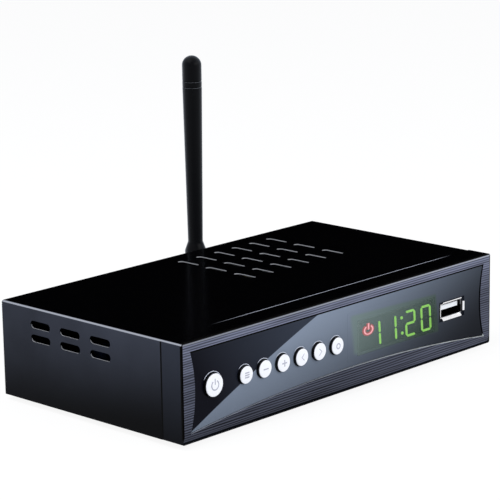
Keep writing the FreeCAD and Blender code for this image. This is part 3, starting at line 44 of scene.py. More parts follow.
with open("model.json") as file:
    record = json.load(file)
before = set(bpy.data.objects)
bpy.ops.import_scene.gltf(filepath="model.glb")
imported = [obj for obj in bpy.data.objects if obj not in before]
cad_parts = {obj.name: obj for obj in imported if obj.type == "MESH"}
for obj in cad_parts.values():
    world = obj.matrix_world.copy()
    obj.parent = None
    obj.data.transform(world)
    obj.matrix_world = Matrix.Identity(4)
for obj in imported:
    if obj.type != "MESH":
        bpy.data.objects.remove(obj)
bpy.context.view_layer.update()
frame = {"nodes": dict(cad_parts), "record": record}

MM = 0.001
# near-black for painted shade
SHADE_BLACK = (0.001, 0.001, 0.001)
DULL = 0.03                                 # specular level of the dark paints and plastics
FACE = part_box("face_plate")[0].y            # front of the face plate
UNDERSIDE, CASE_TOP = (corner.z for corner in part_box("front_bezel"))
KEYS = ("power", "menu", "volume_down", "volume_up", "channel_down", "channel_up", "ok")


def middle(node):
    """Centre of a CAD node's box."""
    low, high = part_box(node)
    return (low + high) / 2


def length(name, default, description, least=0.0):
    """A size property, given in millimetres."""
    return FloatProperty(name=name, description=description, default=default * MM, min=least * MM,
                         unit="LENGTH", subtype="DISTANCE", precision=5)


def factor(name, default, description):
    """A plain number property."""
    return FloatProperty(name=name, description=description, default=default,
                         min=0.0, max=2.0, subtype="FACTOR")


def colour(name, default, description):
    """A colour property."""
    return FloatVectorProperty(name=name, description=description, default=default, size=3,
                               min=0.0, max=1.0, subtype="COLOR")


# ------------------------------------------------------------------------ settings
class CaseSizes(bpy.types.PropertyGroup):
    """Sheet metal of the case."""
    wall: length("Sheet", 0.8, "Thickness of the folded sheet")
    bend: length("Bend radius", 1.05, "Outside radius of a fold along the case")
    rear_bend: length("Rear bend radius", 1.1, "Outside radius of the rear flange's fold")
    flange: length("Rear flange", 6.2, "Width of the cover's rear flange")
    rim: length("Rim", 0.16, "Rounding of cut sheet edges")
    slot_length: length("Vent length", 10.8, "Length of a vent")
    slot_width: length("Vent width", 3, "Width of a vent")
    top_pitch: length("Top vent pitch", 10.3, "Distance between columns of top vents")
    top_rows_pitch: length("Top vent row pitch", 15.5, "Distance between rows of top vents")
    top_start: length("Top vents from the face", 45.9, "Front ends of the first row of top vents")
    top_left: length("Left top vents", -1.5, "Middle of the leftmost top vents", -100)
    top_columns: IntProperty(name="Top vent columns", description="Vents across the top", default=6, min=1)
    rows: IntProperty(name="Vent rows", description="Vents along the case's depth", default=3, min=1)
    side_rows: IntProperty(name="Side vent rows", description="Vents up each side", default=2, min=1)
    side_pitch: length("Side vent pitch", 16.15, "Distance between side vents along the case")
    side_rise: length("Side vent rise", 5.25, "Distance between side vents up the case")
    side_start: length("Side vents from the face", 36.2, "Front ends of the first side vents")
    side_level: length("Side vent level", 25.1, "Middle of the lower side vents over the underside")
    cut_edge: length("Cut edge", 0.05, "Bare steel seen on the cut edge of a vent")
    relief: length("Corner relief", 0.4, "Gap between the rear tabs and the folds at a corner")
    screw_head: length("Screw head", 2.3, "Radius of a cover screw's head")
    screw_rise: length("Screw rise", 1.3, "Height of a cover screw's head")
    recess_width: length("Recess width", 0.64, "Width of the cross in a screw's head")
    recess_reach: length("Recess reach", 1.25, "Length of an arm of the cross in a screw's head")
    upper_screw: length("Upper screw", -28, "Place of the upper cover screw across the case", -100)


class FrontSizes(bpy.types.PropertyGroup):
    """Front panel."""
    soft_edge: length("Moulded edge", 0.2, "Rounding of the mouldings' edges")
    key_dish: length("Key crown", 0.22, "Height of a key's crowned face")
    key_edge: length("Key edge", 0.4, "Rounding of a key's edge")
    collar_width: length("Collar width", 0.8, "Width of the collar round the foot of a key")
    collar_rise: length("Collar rise", 1, "Height of a key's collar")
    collar_depth: length("Collar depth", 3.3, "Front of a key's collar behind the face plate")
    stem: length("Stem", 1.6, "Radius of a key's stem")
    rim_gap: length("Rim gap", 0.48, "Middle of the rim round a key from the key")
    rim_width: length("Rim width", 0.24, "Width of the rim round a key")
    rim_rise: length("Rim rise", 0.05, "Height of the rim round a key")
    mark_width: length("Mark width", 0.5, "Stroke of the marks on the keys")
    mark_rise: length("Mark rise", 0.03, "Height of the printed marks")
    digit_width: length("Digit width", 6.05, "Width of a digit")
    digit_pitch: length("Digit pitch", 9.5, "Distance between the digits of a pair")
    colon_pitch: length("Colon pitch", 11.5, "Distance between the digits beside the colon")
    dot: length("Dot", 0.62, "Radius of the colon's dots")
    dot_rise: length("Dot rise", 3.1, "Distance of a dot from the colon's middle")
    digits_drop: length("Digits' drop", 0.9, "Digits below the middle of their module's window")
    digits_end: length("Digits' end", 0.3, "Last digit from the right end of the module")
    bar_width: length("Digit stroke", 0.85, "Width of one bar of a digit")
    slant: factor("Slant", 0.07, "Backward slant of the digits")
    bar_gap: length("Bar gap", 0.16, "Gap where two bars of a digit meet")
    lap_left: length("Window lap, left", 3.8, "The window's front past its opening at the left")
    lap_right: length("Window lap, right", 1.5, "The window's front past its opening at the right")
    lap_top: length("Window lap, top", 2.6, "The window's front past its opening at the top")
    lap_foot: length("Window lap, foot", 0.6, "The window's front past its opening at the foot")
    haze_lean: factor("Haze lean", 0.12, "Backward lean of the lit haze's ends")
    haze_drop: factor("Haze drop", 0.03, "Fall of the lit haze's top along the window")
    lap: length("Window lap", 0.03, "Thickness of the window's front past its opening")
    standby_shift: length("Standby shift", 3, "Standby sign right of its solid")
    standby_spread: factor("Standby spread", 1.45, "Widening of the standby sign")


class RearSizes(bpy.types.PropertyGroup):
    """Sockets and antenna."""
    thread_pitch: length("Thread pitch", 0.79, "Pitch of the coaxial connectors' thread")
    thread_depth: length("Thread depth", 0.42, "Depth of the coaxial connectors' thread")
    bore: length("Coaxial bore", 3.3, "Radius of the coaxial connectors' mouth")
    barrel: length("Coaxial barrel", 4.7, "Radius over the coaxial connectors' thread")
    nut_start: length("Nut start", 0.9, "Start of a coaxial connector's nut")
    nut_height: length("Nut height", 2, "Height of a coaxial connector's nut")
    nut_half: length("Nut half width", 5.5, "Half the width across flats of a connector's nut")
    soft_edge: length("Edge", 0.09, "Rounding of the sockets' edges")
    tip_length: length("Tip", 13.25, "Turned end of the whip, with its rings and dome")
    ring_places: FloatVectorProperty(name="Rings", description="Middles of the rings from the tip",
                                     default=(13.0 * MM, 10.6 * MM), size=2, unit="LENGTH", precision=5)
    ring_width: length("Ring width", 0.4, "Width of a ring cut in the tip")
    ring_depth: length("Ring depth", 0.3, "Depth of a ring cut in the tip")


class Finishes(bpy.types.PropertyGroup):
    """Colours of the finishes."""
    cover: colour("Cover paint", (0.030, 0.034, 0.047), "Satin paint of the steel cover")
    # Painted shade: near-black put on the tops of the cover and bezel, down the bezel's seam at the sides and
    # round the face plate.
    black_shade: colour("Cover top", (0.0004, 0.0004, 0.0006), "Gloss black of the cover's top")
    bezel: colour("Bezel", (0.024, 0.028, 0.040), "Moulded front frame")
    brushed: colour("Brushed plate", (0.075, 0.082, 0.115), "Brushed face plate")
    # Painted highlight: the face plate's lit cut edges and the band under its top edge.
    plate_highlight: colour("Cut edge of the plate", (0.34, 0.36, 0.42), "Bright edge of the face plate")
    insert_dark: colour("Insert, dark part", (0.0030, 0.0032, 0.0065), "Dark part of the fascia insert")
    insert_dusk: colour("Insert, dusk", (0.030, 0.037, 0.054), "Dark part where it meets the light one")
    insert_light: colour("Insert, light part", (0.232, 0.278, 0.355), "Light part beside the diagonal")
    insert_far: colour("Insert, far part", (0.0075, 0.0088, 0.0125), "Light part far from the diagonal")
    # Painted highlight on the folds, the seam along the bezel's top, the insert's left rim and the upper
    # parts of the key rims; the folds are also partly metallic.
    painted_highlight: colour("Lit edges", (0.36, 0.38, 0.44), "Polished folds and rims that catch the light")
    key: colour("Keys", (0.86, 0.87, 0.91), "Pearl keys")
    mark: colour("Key marks", (0.42, 0.43, 0.50), "Printed marks on the keys")
    window: colour("Window haze", (0.150, 0.198, 0.196), "Haze of the display window at its upper left")
    window_far: colour("Window haze, far", (0.034, 0.052, 0.042), "Haze of the window at its far foot")
    digit: colour("Lit digits", (0.27, 0.62, 0.105), "Light of the digits")
    standby: colour("Standby light", (0.87, 0.36, 0.40), "Light of the standby symbol")
    plated: colour("Plating", (0.80, 0.80, 0.82), "Nickel plating")


SETTINGS = {"case": CaseSizes, "front": FrontSizes, "rear": RearSizes, "finish": Finishes}


def settings(group):
    return getattr(bpy.context.scene, f"receiver_{group}")


# --------------------------------------------------------------------- node trees
class Signal:
    """A node's output that takes part in Python arithmetic."""

    def __init__(self, nodes, socket):
        self.nodes, self.socket = nodes, socket

    def maths(self, operation, *values):
        return self.nodes.node("ShaderNodeMath", {"operation": operation}, dict(enumerate(values)))

    def __add__(self, other):
        return self.maths("ADD", self, other)

    def __sub__(self, other):
        return self.maths("SUBTRACT", self, other)

    def __rsub__(self, other):
        return self.maths("SUBTRACT", other, self)

    def __mul__(self, other):
        return self.maths("MULTIPLY", self, other)

    def __truediv__(self, other):
        return self.maths("DIVIDE", self, other)

    def __abs__(self):
        return self.maths("ABSOLUTE", self)

    __radd__, __rmul__ = __add__, __mul__

    def clamped(self):
        return self.nodes.node("Clamp", {}, {"Value": self})

    def share(self, low, high):
        """How far it has come from low to high."""
        return (self - low) / (high - low)

    def step(self, start, end):
        """Rises smoothly from 0 at start to 1 at end."""
        ranges = {"Value": self, "From Min": start, "From Max": end}
        return self.nodes.node("MapRange", {"interpolation_type": "SMOOTHSTEP"}, ranges)

    def past(self, edge, start, end):
        """Rises from 0 to 1 between two distances past an edge, in millimetres."""
        return self.step(edge + start * MM, edge + end * MM)

    def before(self, edge, start, end):
        """Falls from 1 to 0 between two distances past an edge, in millimetres."""
        return 1 - self.past(edge, start, end)


class Nodes:
    """A node tree that is built node by node."""

    def __init__(self, tree, prefix):
        self.tree, self.prefix = tree, prefix
        tree.nodes.clear()

    def node(self, kind, options=None, sockets=None, output=0):
        """Adds a node: its settings first, then the values or links of its sockets."""
        made = self.tree.nodes.new(kind if "Node" in kind else f"{self.prefix}{kind}")
        for key, value in (options or {}).items():
            setattr(made, key, value)
        for key, values in (sockets or {}).items():
            socket = made.inputs[key]
            for value in values if isinstance(values, list) else [values]:
                if isinstance(value, Signal):
                    self.tree.links.new(value.socket, socket)
                elif socket.type == "RGBA":
                    socket.default_value = (*value, 1)
                else:
                    socket.default_value = value
        return Signal(self, made.outputs[output]) if made.outputs else made


class Finish(Nodes):
    """A material with its patterns on Object coordinates."""

    def __init__(self, name):
        self.material = bpy.data.materials.new(name)
        self.material.use_nodes = True
        super().__init__(self.material.node_tree, "ShaderNode")
        self.place = self.node("TexCoord", {}, {}, "Object")

    def mapped(self, scale, turned=(0, 0, 0)):
        sockets = {"Vector": self.place, "Rotation": turned, "Scale": scale}
        return self.node("Mapping", {"vector_type": "POINT"}, sockets)

    def axes(self):
        """The x, y and z of a point on the piece, in metres."""
        return [self.node("SeparateXYZ", {}, {"Vector": self.place}, axis) for axis in "XYZ"]

    def noise(self, scale, detail=3, coords=None):
        sockets = {"Vector": coords or self.place, "Scale": scale, "Detail": detail}
        return self.node("TexNoise", {"noise_dimensions": "3D"}, sockets)

    def flow(self):
        """Faint marks of plastic that flowed across the mould."""
        return self.noise(60, 4, self.mapped((0.3, 1, 1)))

    def mix(self, factor, first, second):
        """Mixes two colours."""
        choice = {"data_type": "RGBA", "clamp_factor": True}
        return self.node("Mix", choice, {0: factor, 6: first, 7: second}, 2)

    def bump(self, height, depth, strength=1.0):
        """A normal from a height between 0 and 1, with its depth in metres."""
        return self.node("Bump", {}, {"Height": height, "Distance": depth, "Strength": strength})

    def surface(self, **sockets):
        """Ends the material in a principled surface; words of a socket are joined by underscores."""
        named = {key.replace("_", " "): value for key, value in sockets.items()}
        return self.ended(self.node("BsdfPrincipled", {}, named))

    def dull(self, **sockets):
        """Ends the material in a surface that reflects little."""
        return self.surface(Specular_IOR_Level=DULL, **sockets)

    def ended(self, shader):
        self.node("OutputMaterial", {}, {"Surface": shader})
        return self.material


def shade(tint, factor):
    """A colour made lighter or darker."""
    return tuple(min(1.0, part * factor) for part in tint)


# ----------------------------------------------------------------------- finishes
def lit_fold(x, z, high):
    """Share of the painted highlight on a fold along the case, under its top's long edges."""
    outer = abs(x).past(high.x, -1.15, -0.95)
    return outer * z.past(high.z, -0.72, -0.5) * z.before(high.z, -0.2, -0.04)


def painted(name, roughness):
    """Sprayed paint with orange peel, rougher at the sides and gloss on top, with painted light and shade:
    the sides darker towards the foot and lighter towards the front, the top near-black, cut faces and the
    inside black, and a painted highlight on the folds, which are also partly metallic.
    """
    finish, tints = Finish(name), settings("finish")
    x, y, z = finish.axes()
    low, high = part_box("top_cover")
    cloud, peel = finish.noise(35), finish.noise(900, 2)
    top, fold = z.past(high.z, -0.9, -0.25), lit_fold(x, z, high)
    climb, near = z.share(low.z, high.z).clamped(), (high.y - y) / (high.y - low.y)
    # Lit and shaded copies of the paint: the sides are painted darker towards the foot and lighter towards
    # the front, over random clouding.
    dim, darker_tone, pale = (shade(tints.cover, part) for part in (0.07, 0.7, 1.55))
    side = finish.mix(near * 0.72 + cloud.step(0.3, 0.7) * 0.4, darker_tone, pale)
    side = finish.mix((climb + (1 - near) * 0.26).step(0.1, 1.12), dim, side)
    # Painted shade: cut faces and the inside are black.
    outside = abs(x).past(high.x, -0.14, -0.08) + y.past(high.y, -1.3, -1.2)
    side = finish.mix(outside.clamped(), SHADE_BLACK, side)
    # Painted shade on the top, near-black, and a painted highlight on the folds.
    tone = finish.mix(fold, finish.mix(top, side, tints.black_shade), tints.painted_highlight)
    gloss = cloud * 0.08 + (roughness - 0.04) - top * (roughness - 0.16)
    return finish.dull(Base_Color=tone, Roughness=gloss, Metallic=fold * 0.6,
                       Normal=finish.bump(peel, 0.000012))


def bezel_moulding(name):
    """Front frame, darker towards its foot and gloss on top, with painted light and shade: near-black on top
    and round the face plate, a painted highlight along the seam on top, a painted shadow line down the seam
    at the sides, and painted highlights on the folds.
    """
    finish, tints = Finish(name), settings("finish")
    x, y, z = finish.axes()
    # A shaded copy for the foot, and two tones for the flow marks: the side is painted darker towards its
    # foot.
    dim, darker_tone, pale = (shade(tints.bezel, part) for part in (0.1, 1.2, 1.5))
    climb = z.share(UNDERSIDE, CASE_TOP).clamped()
    side = finish.mix(climb.step(-0.2, 1.25), dim, finish.mix(finish.flow(), darker_tone, pale))
    # The top is painted near-black as shade.
    top, fold = z.past(CASE_TOP, -0.5, -0.2), lit_fold(x, z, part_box("front_bezel")[1])
    rear = (y + (1 - top) * 0.5 * MM).past(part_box("top_cover")[0].y, -0.30, -0.22)
    span = x.past(0, -64, -38) * x.before(0, 62, 76)
    # Painted highlight along the seam on top, painted shadow down the seam at the sides.
    seam_light_and_shade = finish.mix(top * span, tints.black_shade, shade(tints.painted_highlight, 1.8))
    tone = finish.mix(rear, finish.mix(top, side, tints.black_shade), seam_light_and_shade)
    # Painted shade round the face plate, and painted highlights on the folds.
    front = y.before(FACE, 0.5, 0.7) * z.past(UNDERSIDE, 1.8, 2.2)
    tone = finish.mix(fold, finish.mix(front, tone, tints.black_shade), tints.painted_highlight)
    return finish.dull(Base_Color=tone, Roughness=0.34 - top * 0.16, Metallic=fold * 0.6,
                       Normal=finish.bump(finish.noise(1800, 2), 0.00001))


def moulded(name, tint, roughness, extra=None):
    """Moulded plastic with a fine spark-eroded texture and faint flow marks."""
    finish = Finish(name)
    flow, texture = finish.flow(), finish.noise(1800, 2)
    return finish.surface(Base_Color=finish.mix(flow, shade(tint, 0.85), shade(tint, 1.15)),
                          Roughness=flow * 0.12 + (roughness - 0.06),
                          Normal=finish.bump(texture, 0.00001), **(extra or {}))


def plated(name, tint, roughness=0.18, along=(1, 1, 1), mouth=None):
    """Plated or bare metal with fine tooling marks and dull patches; a mouth's box paints shade inside it and
    in the gaps at its sides.
    """
    finish = Finish(name)
    tooling, patches = finish.noise(900, 3, finish.mapped(along)), finish.noise(220)
    tone = finish.mix(patches, shade(tint, 0.82), shade(tint, 1.05))
    if mouth:
        # Painted shade deep in the mouth and in the gaps beside its tongue.
        x, y, _ = finish.axes()
        low, half = mouth[0], (mouth[1].x - mouth[0].x) / 2
        off = abs(x - (low.x + half))
        gap = off.past(half, -1.35, -1.25) * off.before(half, -0.85, -0.7)
        tone = finish.mix((y.past(low.y, 0.5, 2.2) + gap).clamped(), tone, shade(tint, 0.03))
    gloss = patches * 0.16 + tooling * 0.08 + (roughness - 0.1)
    return finish.surface(Base_Color=tone, Metallic=1.0, Roughness=gloss.clamped(),
                          Normal=finish.bump(tooling, 0.000006))


def board(name, tint):
    """Solder mask over copper tracks, with pads and holes."""
    finish = Finish(name)
    tracks = finish.node("TexWave", {"wave_type": "BANDS", "bands_direction": "DIAGONAL"},
                         {"Vector": finish.place, "Scale": 210, "Distortion": 6, "Detail": 2}, "Fac")
    pads = finish.node("TexVoronoi", {"feature": "F1"}, {"Vector": finish.place, "Scale": 260})
    lanes, dots = tracks.step(0.55, 0.6), 1 - pads.step(0.16, 0.2)
    tone = finish.mix(dots, finish.mix(lanes, shade(tint, 0.7), shade(tint, 1.5)), (0.45, 0.44, 0.38))
    return finish.surface(Base_Color=tone, Roughness=0.38, Normal=finish.bump(lanes + dots, 0.00003))


def brushed_plate(name):
    """Hairline finish along the plate, with painted light and shade: darker towards its foot, lighter towards
    its upper edge and the right end of its foot, a painted highlight in a band near its top edge and on its
    cut edges near the top and foot, and painted shade (black) on its other cut edges, its left end and along
    its top.
    """
    finish, tints = Finish(name), settings("finish")
    tint, bright = tints.brushed, tints.plate_highlight
    x, y, z = finish.axes()
    low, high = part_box("face_plate")
    tilt = math.radians(1.5)
    hairs = finish.noise(1, 1, finish.mapped((40, 40, 2000), (0, tilt, 0)))
    strokes = finish.node("TexWave", {"wave_type": "BANDS", "bands_direction": "Z"},
                          {"Vector": finish.mapped((0.12, 0.12, 1), (0, -tilt / 6, 0)), "Scale": 340,
                           "Distortion": 2.2, "Detail": 1, "Detail Scale": 0.5}, "Fac")
    lines = (hairs * 0.6 + strokes * 0.4).step(0.3, 0.72)
    climb, along = z.share(low.z, high.z), x.share(low.x, high.x)
    # Lit and shaded copies of the brushed tone, as painted light and shade.
    foot, far_foot, face, brow = (finish.mix(lines, shade(tint, dark), shade(tint, pale))
                                  for dark, pale in ((0.05, 0.75), (0.3, 1.4), (0.25, 1.3), (0.7, 2.5)))
    tone = finish.mix(climb.step(0.0, 0.35), finish.mix(along.step(0.35, 0.95), foot, far_foot), face)
    tone = finish.mix(climb.step(0.55, 1.0), tone, brow)
    # Painted highlight in a band under the top edge.
    top_highlight = finish.mix(along, shade(bright, 0.6), shade(bright, 0.95))
    tone = finish.mix(z.past(high.z, -1.1, -0.8), tone, top_highlight)
    # Cut edges: a painted highlight where light catches them, brighter to the right; painted shade (black)
    # elsewhere.
    cut = y.past(FACE, 0.03, 0.12) * z.past(low.z, 2.7, 2.9)
    lit_to = (z + along.step(0.9, 0.95) * 6 * MM).before(low.z, 9.5, 10)
    shown = (z.past(high.z, -0.5, -0.4) + lit_to).clamped()
    edge = finish.mix(along.step(0.3, 0.9), bright, shade(bright, 2.8))
    tone = finish.mix(cut, tone, finish.mix(shown, SHADE_BLACK, edge))
    # Painted shade (black) at the left end and along the top edge.
    shadow = x.before(low.x, 0.15, 0.3) + z.past(high.z, -0.46, -0.34)
    return finish.dull(Base_Color=finish.mix(shadow.clamped(), tone, SHADE_BLACK), Metallic=0.25,
                       Roughness=lines * 0.18 + 0.34, Normal=finish.bump(lines, 0.00002, 0.6))


def insert_tone(finish, x, z):
    """Tone of the gloss insert: dark up to a rising diagonal, light beside it, fading at the far end."""
    tints = settings("finish")
    low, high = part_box("fascia_insert")
    start_x, start_z = low.x + 0.5 * MM, UNDERSIDE + 4.25 * MM
    run, rise, bulge = 66.75 * MM, 28.55 * MM, 4.0 * MM
    along = (x - start_x) / run
    line = along * rise + along * (1 - along) * bulge + start_z
    climb = z.share(UNDERSIDE, CASE_TOP).clamped()
    fade = (x.share(start_x, high.x) - climb * 0.35).step(-0.1, 0.95)
    pale = finish.mix((climb * 0.55 + 0.5) * (1 - fade), tints.insert_far, tints.insert_light)
    dusk = (along * 1.13 + climb * 0.41 - 0.34).clamped()
    dark = finish.mix(dusk, tints.insert_dark, tints.insert_dusk)
    return finish.mix((line - z).past(0, -0.08, 0.08), dark, pale)


def two_tone(name):
    """Gloss insert with a painted highlight on the rim at its left end and painted shade along its top edge.
    """
    finish = Finish(name)
    x, y, z = finish.axes()
    low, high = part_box("fascia_insert")
    # Painted highlight on the rim at the left end.
    rim = y.past(low.y, 0.02, 0.06) * y.before(low.y, 0.24, 0.3) * x.before(low.x, 4, 5)
    tone = finish.mix(rim * z.before(high.z, -1.2, -1), insert_tone(finish, x, z),
                      settings("finish").painted_highlight)
    # Painted shade: black along the top edge.
    tone = finish.mix(z.past(high.z, -0.5, -0.35), tone, SHADE_BLACK)
    return finish.dull(Base_Color=tone, Roughness=finish.noise(30) * 0.06 + 0.2,
                       Normal=finish.bump(finish.noise(700, 2), 0.000004))


def pearl(name):
    """Pearl-white key face, near-black on its side behind the face."""
    finish, tint = Finish(name), settings("finish").key
    cloud, fleck = finish.noise(300), finish.noise(2600, 1)
    skirt = finish.axes()[1].past(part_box("power_key")[0].y, 0.38, 0.52)
    tone = finish.mix(skirt, finish.mix(cloud, shade(tint, 0.95), shade(tint, 1.03)), (0.003, 0.003, 0.004))
    return finish.surface(Base_Color=tone, Roughness=fleck * 0.12 + 0.26, Specular_IOR_Level=0.3,
                          Normal=finish.bump(fleck, 0.000004))


def key_ring(name):
    """Rim round a key, in the insert's tone, with a painted highlight on its upper part."""
    finish = Finish(name)
    x, _, z = finish.axes()
    # Painted highlight on the upper part of the rim.
    tone = finish.mix(z.past(middle("menu_key").z, 2.2, 3.4), insert_tone(finish, x, z),
                      shade(settings("finish").painted_highlight, 1.7))
    return finish.dull(Base_Color=tone, Roughness=0.25)


def haze_tone(finish, x, z):
    """Tone of the display's haze: paler at its upper left, and dim green at its far foot."""
    tints = settings("finish")
    low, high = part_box("display_window")
    far = x.share(low.x, high.x) * 0.8 + (high.z - z) / (high.z - low.z) * 0.35
    return finish.mix(far.clamped(), tints.window, tints.window_far)


def haze_light(name):
    """Backing of the display, which glows with the haze's tone: painted light in place of the dark module."""
    finish = Finish(name)
    x, _, z = finish.axes()
    # Painted light: the backing glows with the haze's tone.
    return finish.dull(Base_Color=(0.003, 0.004, 0.003), Roughness=0.5,
                       Emission_Color=haze_tone(finish, x, z), Emission_Strength=1.1)


def tinted_glass(name):
    """Smoked window with a soft green haze that fades into the insert's tone at its edges."""
    finish, front = Finish(name), settings("front")
    x, _, z = finish.axes()
    (low, high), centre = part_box("display_window"), middle("display_window")
    across, up = x + (z - centre.z) * front.haze_lean, z + (x - centre.x) * front.haze_drop
    inside = across.past(low.x, -2, 0.4) * across.before(high.x, 0, 1.2)
    inside = inside * up.past(low.z, 0, 1.6) * up.before(high.z, -0.2, 1.2)
    core = x.past(low.x, 1.2, 2.4) * x.before(high.x, -1.3, -0.9)
    core = core * z.past(low.z, 0.2, 0.8) * z.before(high.z, -1.9, -0.9)
    tone = finish.mix(inside, insert_tone(finish, x, z), haze_tone(finish, x, z))
    return finish.dull(Base_Color=tone, Roughness=finish.noise(30) * 0.06 + 0.2, Alpha=1 - core * 0.75)


def lit(name, tint, strength):
    """A lit lens, with a slightly uneven glow."""
    finish = Finish(name)
    tone = finish.mix(finish.noise(700, 2), shade(tint, 0.8), shade(tint, 1.15))
    return finish.surface(Base_Color=shade(tint, 0.25), Roughness=0.35,
                          Emission_Color=tone, Emission_Strength=strength)


def rubber(name, tint):
    """Matt rubber with a fine tooth."""
    finish = Finish(name)
    tooth, dust = finish.noise(1500), finish.noise(120, 4)
    return finish.surface(Base_Color=finish.mix(dust, tint, shade(tint, 1.9)), Roughness=dust * 0.15 + 0.7,
                          Normal=finish.bump(tooth, 0.00003))


FINISHES = {}


def make_finishes():
    """Every finish of the receiver, by the record's slot names where a slot has one."""
    tints = settings("finish")
    sheen = {"Specular_IOR_Level": DULL, "Sheen_Weight": 0.8, "Sheen_Roughness": 0.38,
             "Sheen_Tint": (0.84, 0.9, 1.0)}
    recipes = {
        "cover_paint": (painted, 0.34),
        "tray_steel": (painted, 0.38),
        # Bare cut steel as a light matt tone, which stands in for the lit edges: partly painted highlight.
        "cut_steel": (moulded, (0.46, 0.47, 0.50), 0.5),
        "bezel_plastic": (bezel_moulding,),
        "brushed_face": (brushed_plate,),
        "insert_gloss": (two_tone,),
        "window_tint": (tinted_glass,),
        "key_white": (pearl,),
        "key_mark": (moulded, tints.mark, 0.5),
        "key_rim": (key_ring,),
        "digit_green": (lit, tints.digit, 1.45),
        "indicator_red": (lit, tints.standby, 1.7),
        # A wider glowing stroke round the standby symbol: painted glow.
        "indicator_halo": (lit, (0.42, 0.06, 0.06), 1.2),
        "display_black": (haze_light,),
        "plated_shell": (plated, tints.plated),
        # Plating made lighter than the rest, as a painted highlight, with painted shade inside the mouth.
        "usb_lips": (plated, shade(tints.plated, 1.15), 0.2, (1, 1, 1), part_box("usb_shell")),
        "nickel": (plated, (0.62, 0.61, 0.58), 0.24),
        "screw_steel": (plated, (0.42, 0.42, 0.43), 0.3),
        "tinned_can": (plated, (0.55, 0.55, 0.56), 0.35, (0.1, 1, 1)),
        "gold_plate": (plated, (0.83, 0.62, 0.28), 0.22),
        "brass": (plated, (0.68, 0.5, 0.22), 0.3),
        "sink_aluminium": (plated, (0.6, 0.6, 0.62), 0.38, (1, 0.08, 1)),
        "usb_plastic": (moulded, (0.78, 0.8, 0.83), 0.42),
        "circuit_board": (board, (0.02, 0.11, 0.045)),
        "chip_black": (moulded, (0.022, 0.022, 0.024), 0.55),
        "switch_case": (moulded, (0.03, 0.03, 0.03), 0.5),
        "socket_black": (moulded, (0.014, 0.014, 0.016), 0.42),
        "rocker_black": (moulded, (0.012, 0.012, 0.014), 0.3),
        "jack_white": (moulded, (0.78, 0.78, 0.75), 0.35),
        "jack_red": (moulded, (0.55, 0.02, 0.02), 0.35),
        "jack_yellow": (moulded, (0.78, 0.5, 0.02), 0.35),
        "jack_orange": (moulded, (0.75, 0.18, 0.02), 0.35),
        "ribbon_grey": (moulded, (0.4, 0.4, 0.42), 0.5),
        "capacitor_sleeve": (moulded, (0.02, 0.035, 0.11), 0.3),
        "antenna_black": (moulded, (0.001, 0.001, 0.0015), 0.3, sheen),
        "foot_rubber": (rubber, (0.018, 0.018, 0.019)),
    }
    for name, (make, *values) in recipes.items():
        FINISHES[name] = make(name, *values)


# ------------------------------------------------------------------- mesh helpers
FRONTWARD = Matrix(((1, 0, 0), (0, 0, -1), (0, 1, 0))).to_4x4()     # local Z faces the front
REARWARD = Matrix(((-1, 0, 0), (0, 0, 1), (0, 1, 0))).to_4x4()      # local Z faces the rear
UPWARD = Matrix.Identity(4)


def put(place, facing=UPWARD):
    """Matrix that stands a piece at a point, facing a way."""
    return Matrix.Translation(place) @ facing


def opened(mesh):
    """A mesh opened for editing."""
    bm = bmesh.new()
    bm.from_mesh(mesh)
    return bm


def as_mesh(bm, name="shape"):
    mesh = bpy.data.meshes.new(name)
    bm.to_mesh(mesh)
    bm.free()
    return mesh


def sliced(bm, place, normal, **options):
    """Cuts the faces of a mesh along a plane."""
    return bmesh.ops.bisect_plane(bm, geom=bm.verts[:] + bm.edges[:] + bm.faces[:], dist=1e-7,
                                  plane_co=place, plane_no=normal, **options)


def scratch(data, name="scratch"):
    obj = bpy.data.objects.new(name, data)
    bpy.context.scene.collection.objects.link(obj)
    return obj


def evaluated(obj, name):
    """The plain mesh of an object with its modifiers; the object goes."""
    bpy.context.view_layer.update()
    graph = bpy.context.evaluated_depsgraph_get()
    mesh = bpy.data.meshes.new_from_object(obj.evaluated_get(graph), depsgraph=graph)
    mesh.name = name
    data = obj.data
    bpy.data.objects.remove(obj)
    if data.users == 0 and isinstance(data, bpy.types.Mesh):
        bpy.data.meshes.remove(data)
    return mesh


def rounded(mesh, width, angle=35):
    """Rounds the edges of a mesh that are sharper than an angle."""
    obj = scratch(mesh)
    bevel = obj.modifiers.new("edges", "BEVEL")
    bevel.width, bevel.segments = width, 2
    bevel.limit_method, bevel.angle_limit = "ANGLE", math.radians(angle)
    bevel.use_clamp_overlap = True
    return evaluated(obj, mesh.name)


def merged_copy(node):
    """A CAD node's mesh with its loose triangles joined, and flat faces whole."""
    bm = opened(frame["nodes"][node].data)
    bmesh.ops.remove_doubles(bm, verts=bm.verts, dist=0.002 * MM)
    bmesh.ops.dissolve_limit(bm, angle_limit=math.radians(0.4), verts=bm.verts, edges=bm.edges)
    return as_mesh(bm, node)


def moved(mesh, matrix):
    mesh.transform(matrix)
    return mesh


def joined(name, meshes):
    """Several meshes as one."""
    bm = bmesh.new()
    for mesh in meshes:
        bm.from_mesh(mesh)
        bpy.data.meshes.remove(mesh)
    return as_mesh(bm, name)


def piece(name, mesh, finish, slot, body="root", stands_for=()):
    """Makes a finished piece of a mesh that is already in place."""
    mesh.materials.clear()
    mesh.materials.append(FINISHES[finish])
    mesh.polygons.foreach_set("material_index", [0] * len(mesh.polygons))
    mesh.shade_smooth()
    mesh.set_sharp_from_angle(angle=math.radians(35))
    shaped = scratch(mesh)
    shaped.modifiers.new("shading", "WEIGHTED_NORMAL").keep_sharp = True
    obj = scratch(evaluated(shaped, name), name)
    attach(obj, body)
    if stands_for:
        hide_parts(*stands_for)
    return obj


def slot_of(node):
    """Material slot of a CAD node."""
    return next(part["material_slot"] for part in frame["record"]["subparts"] if part["node"] == node)


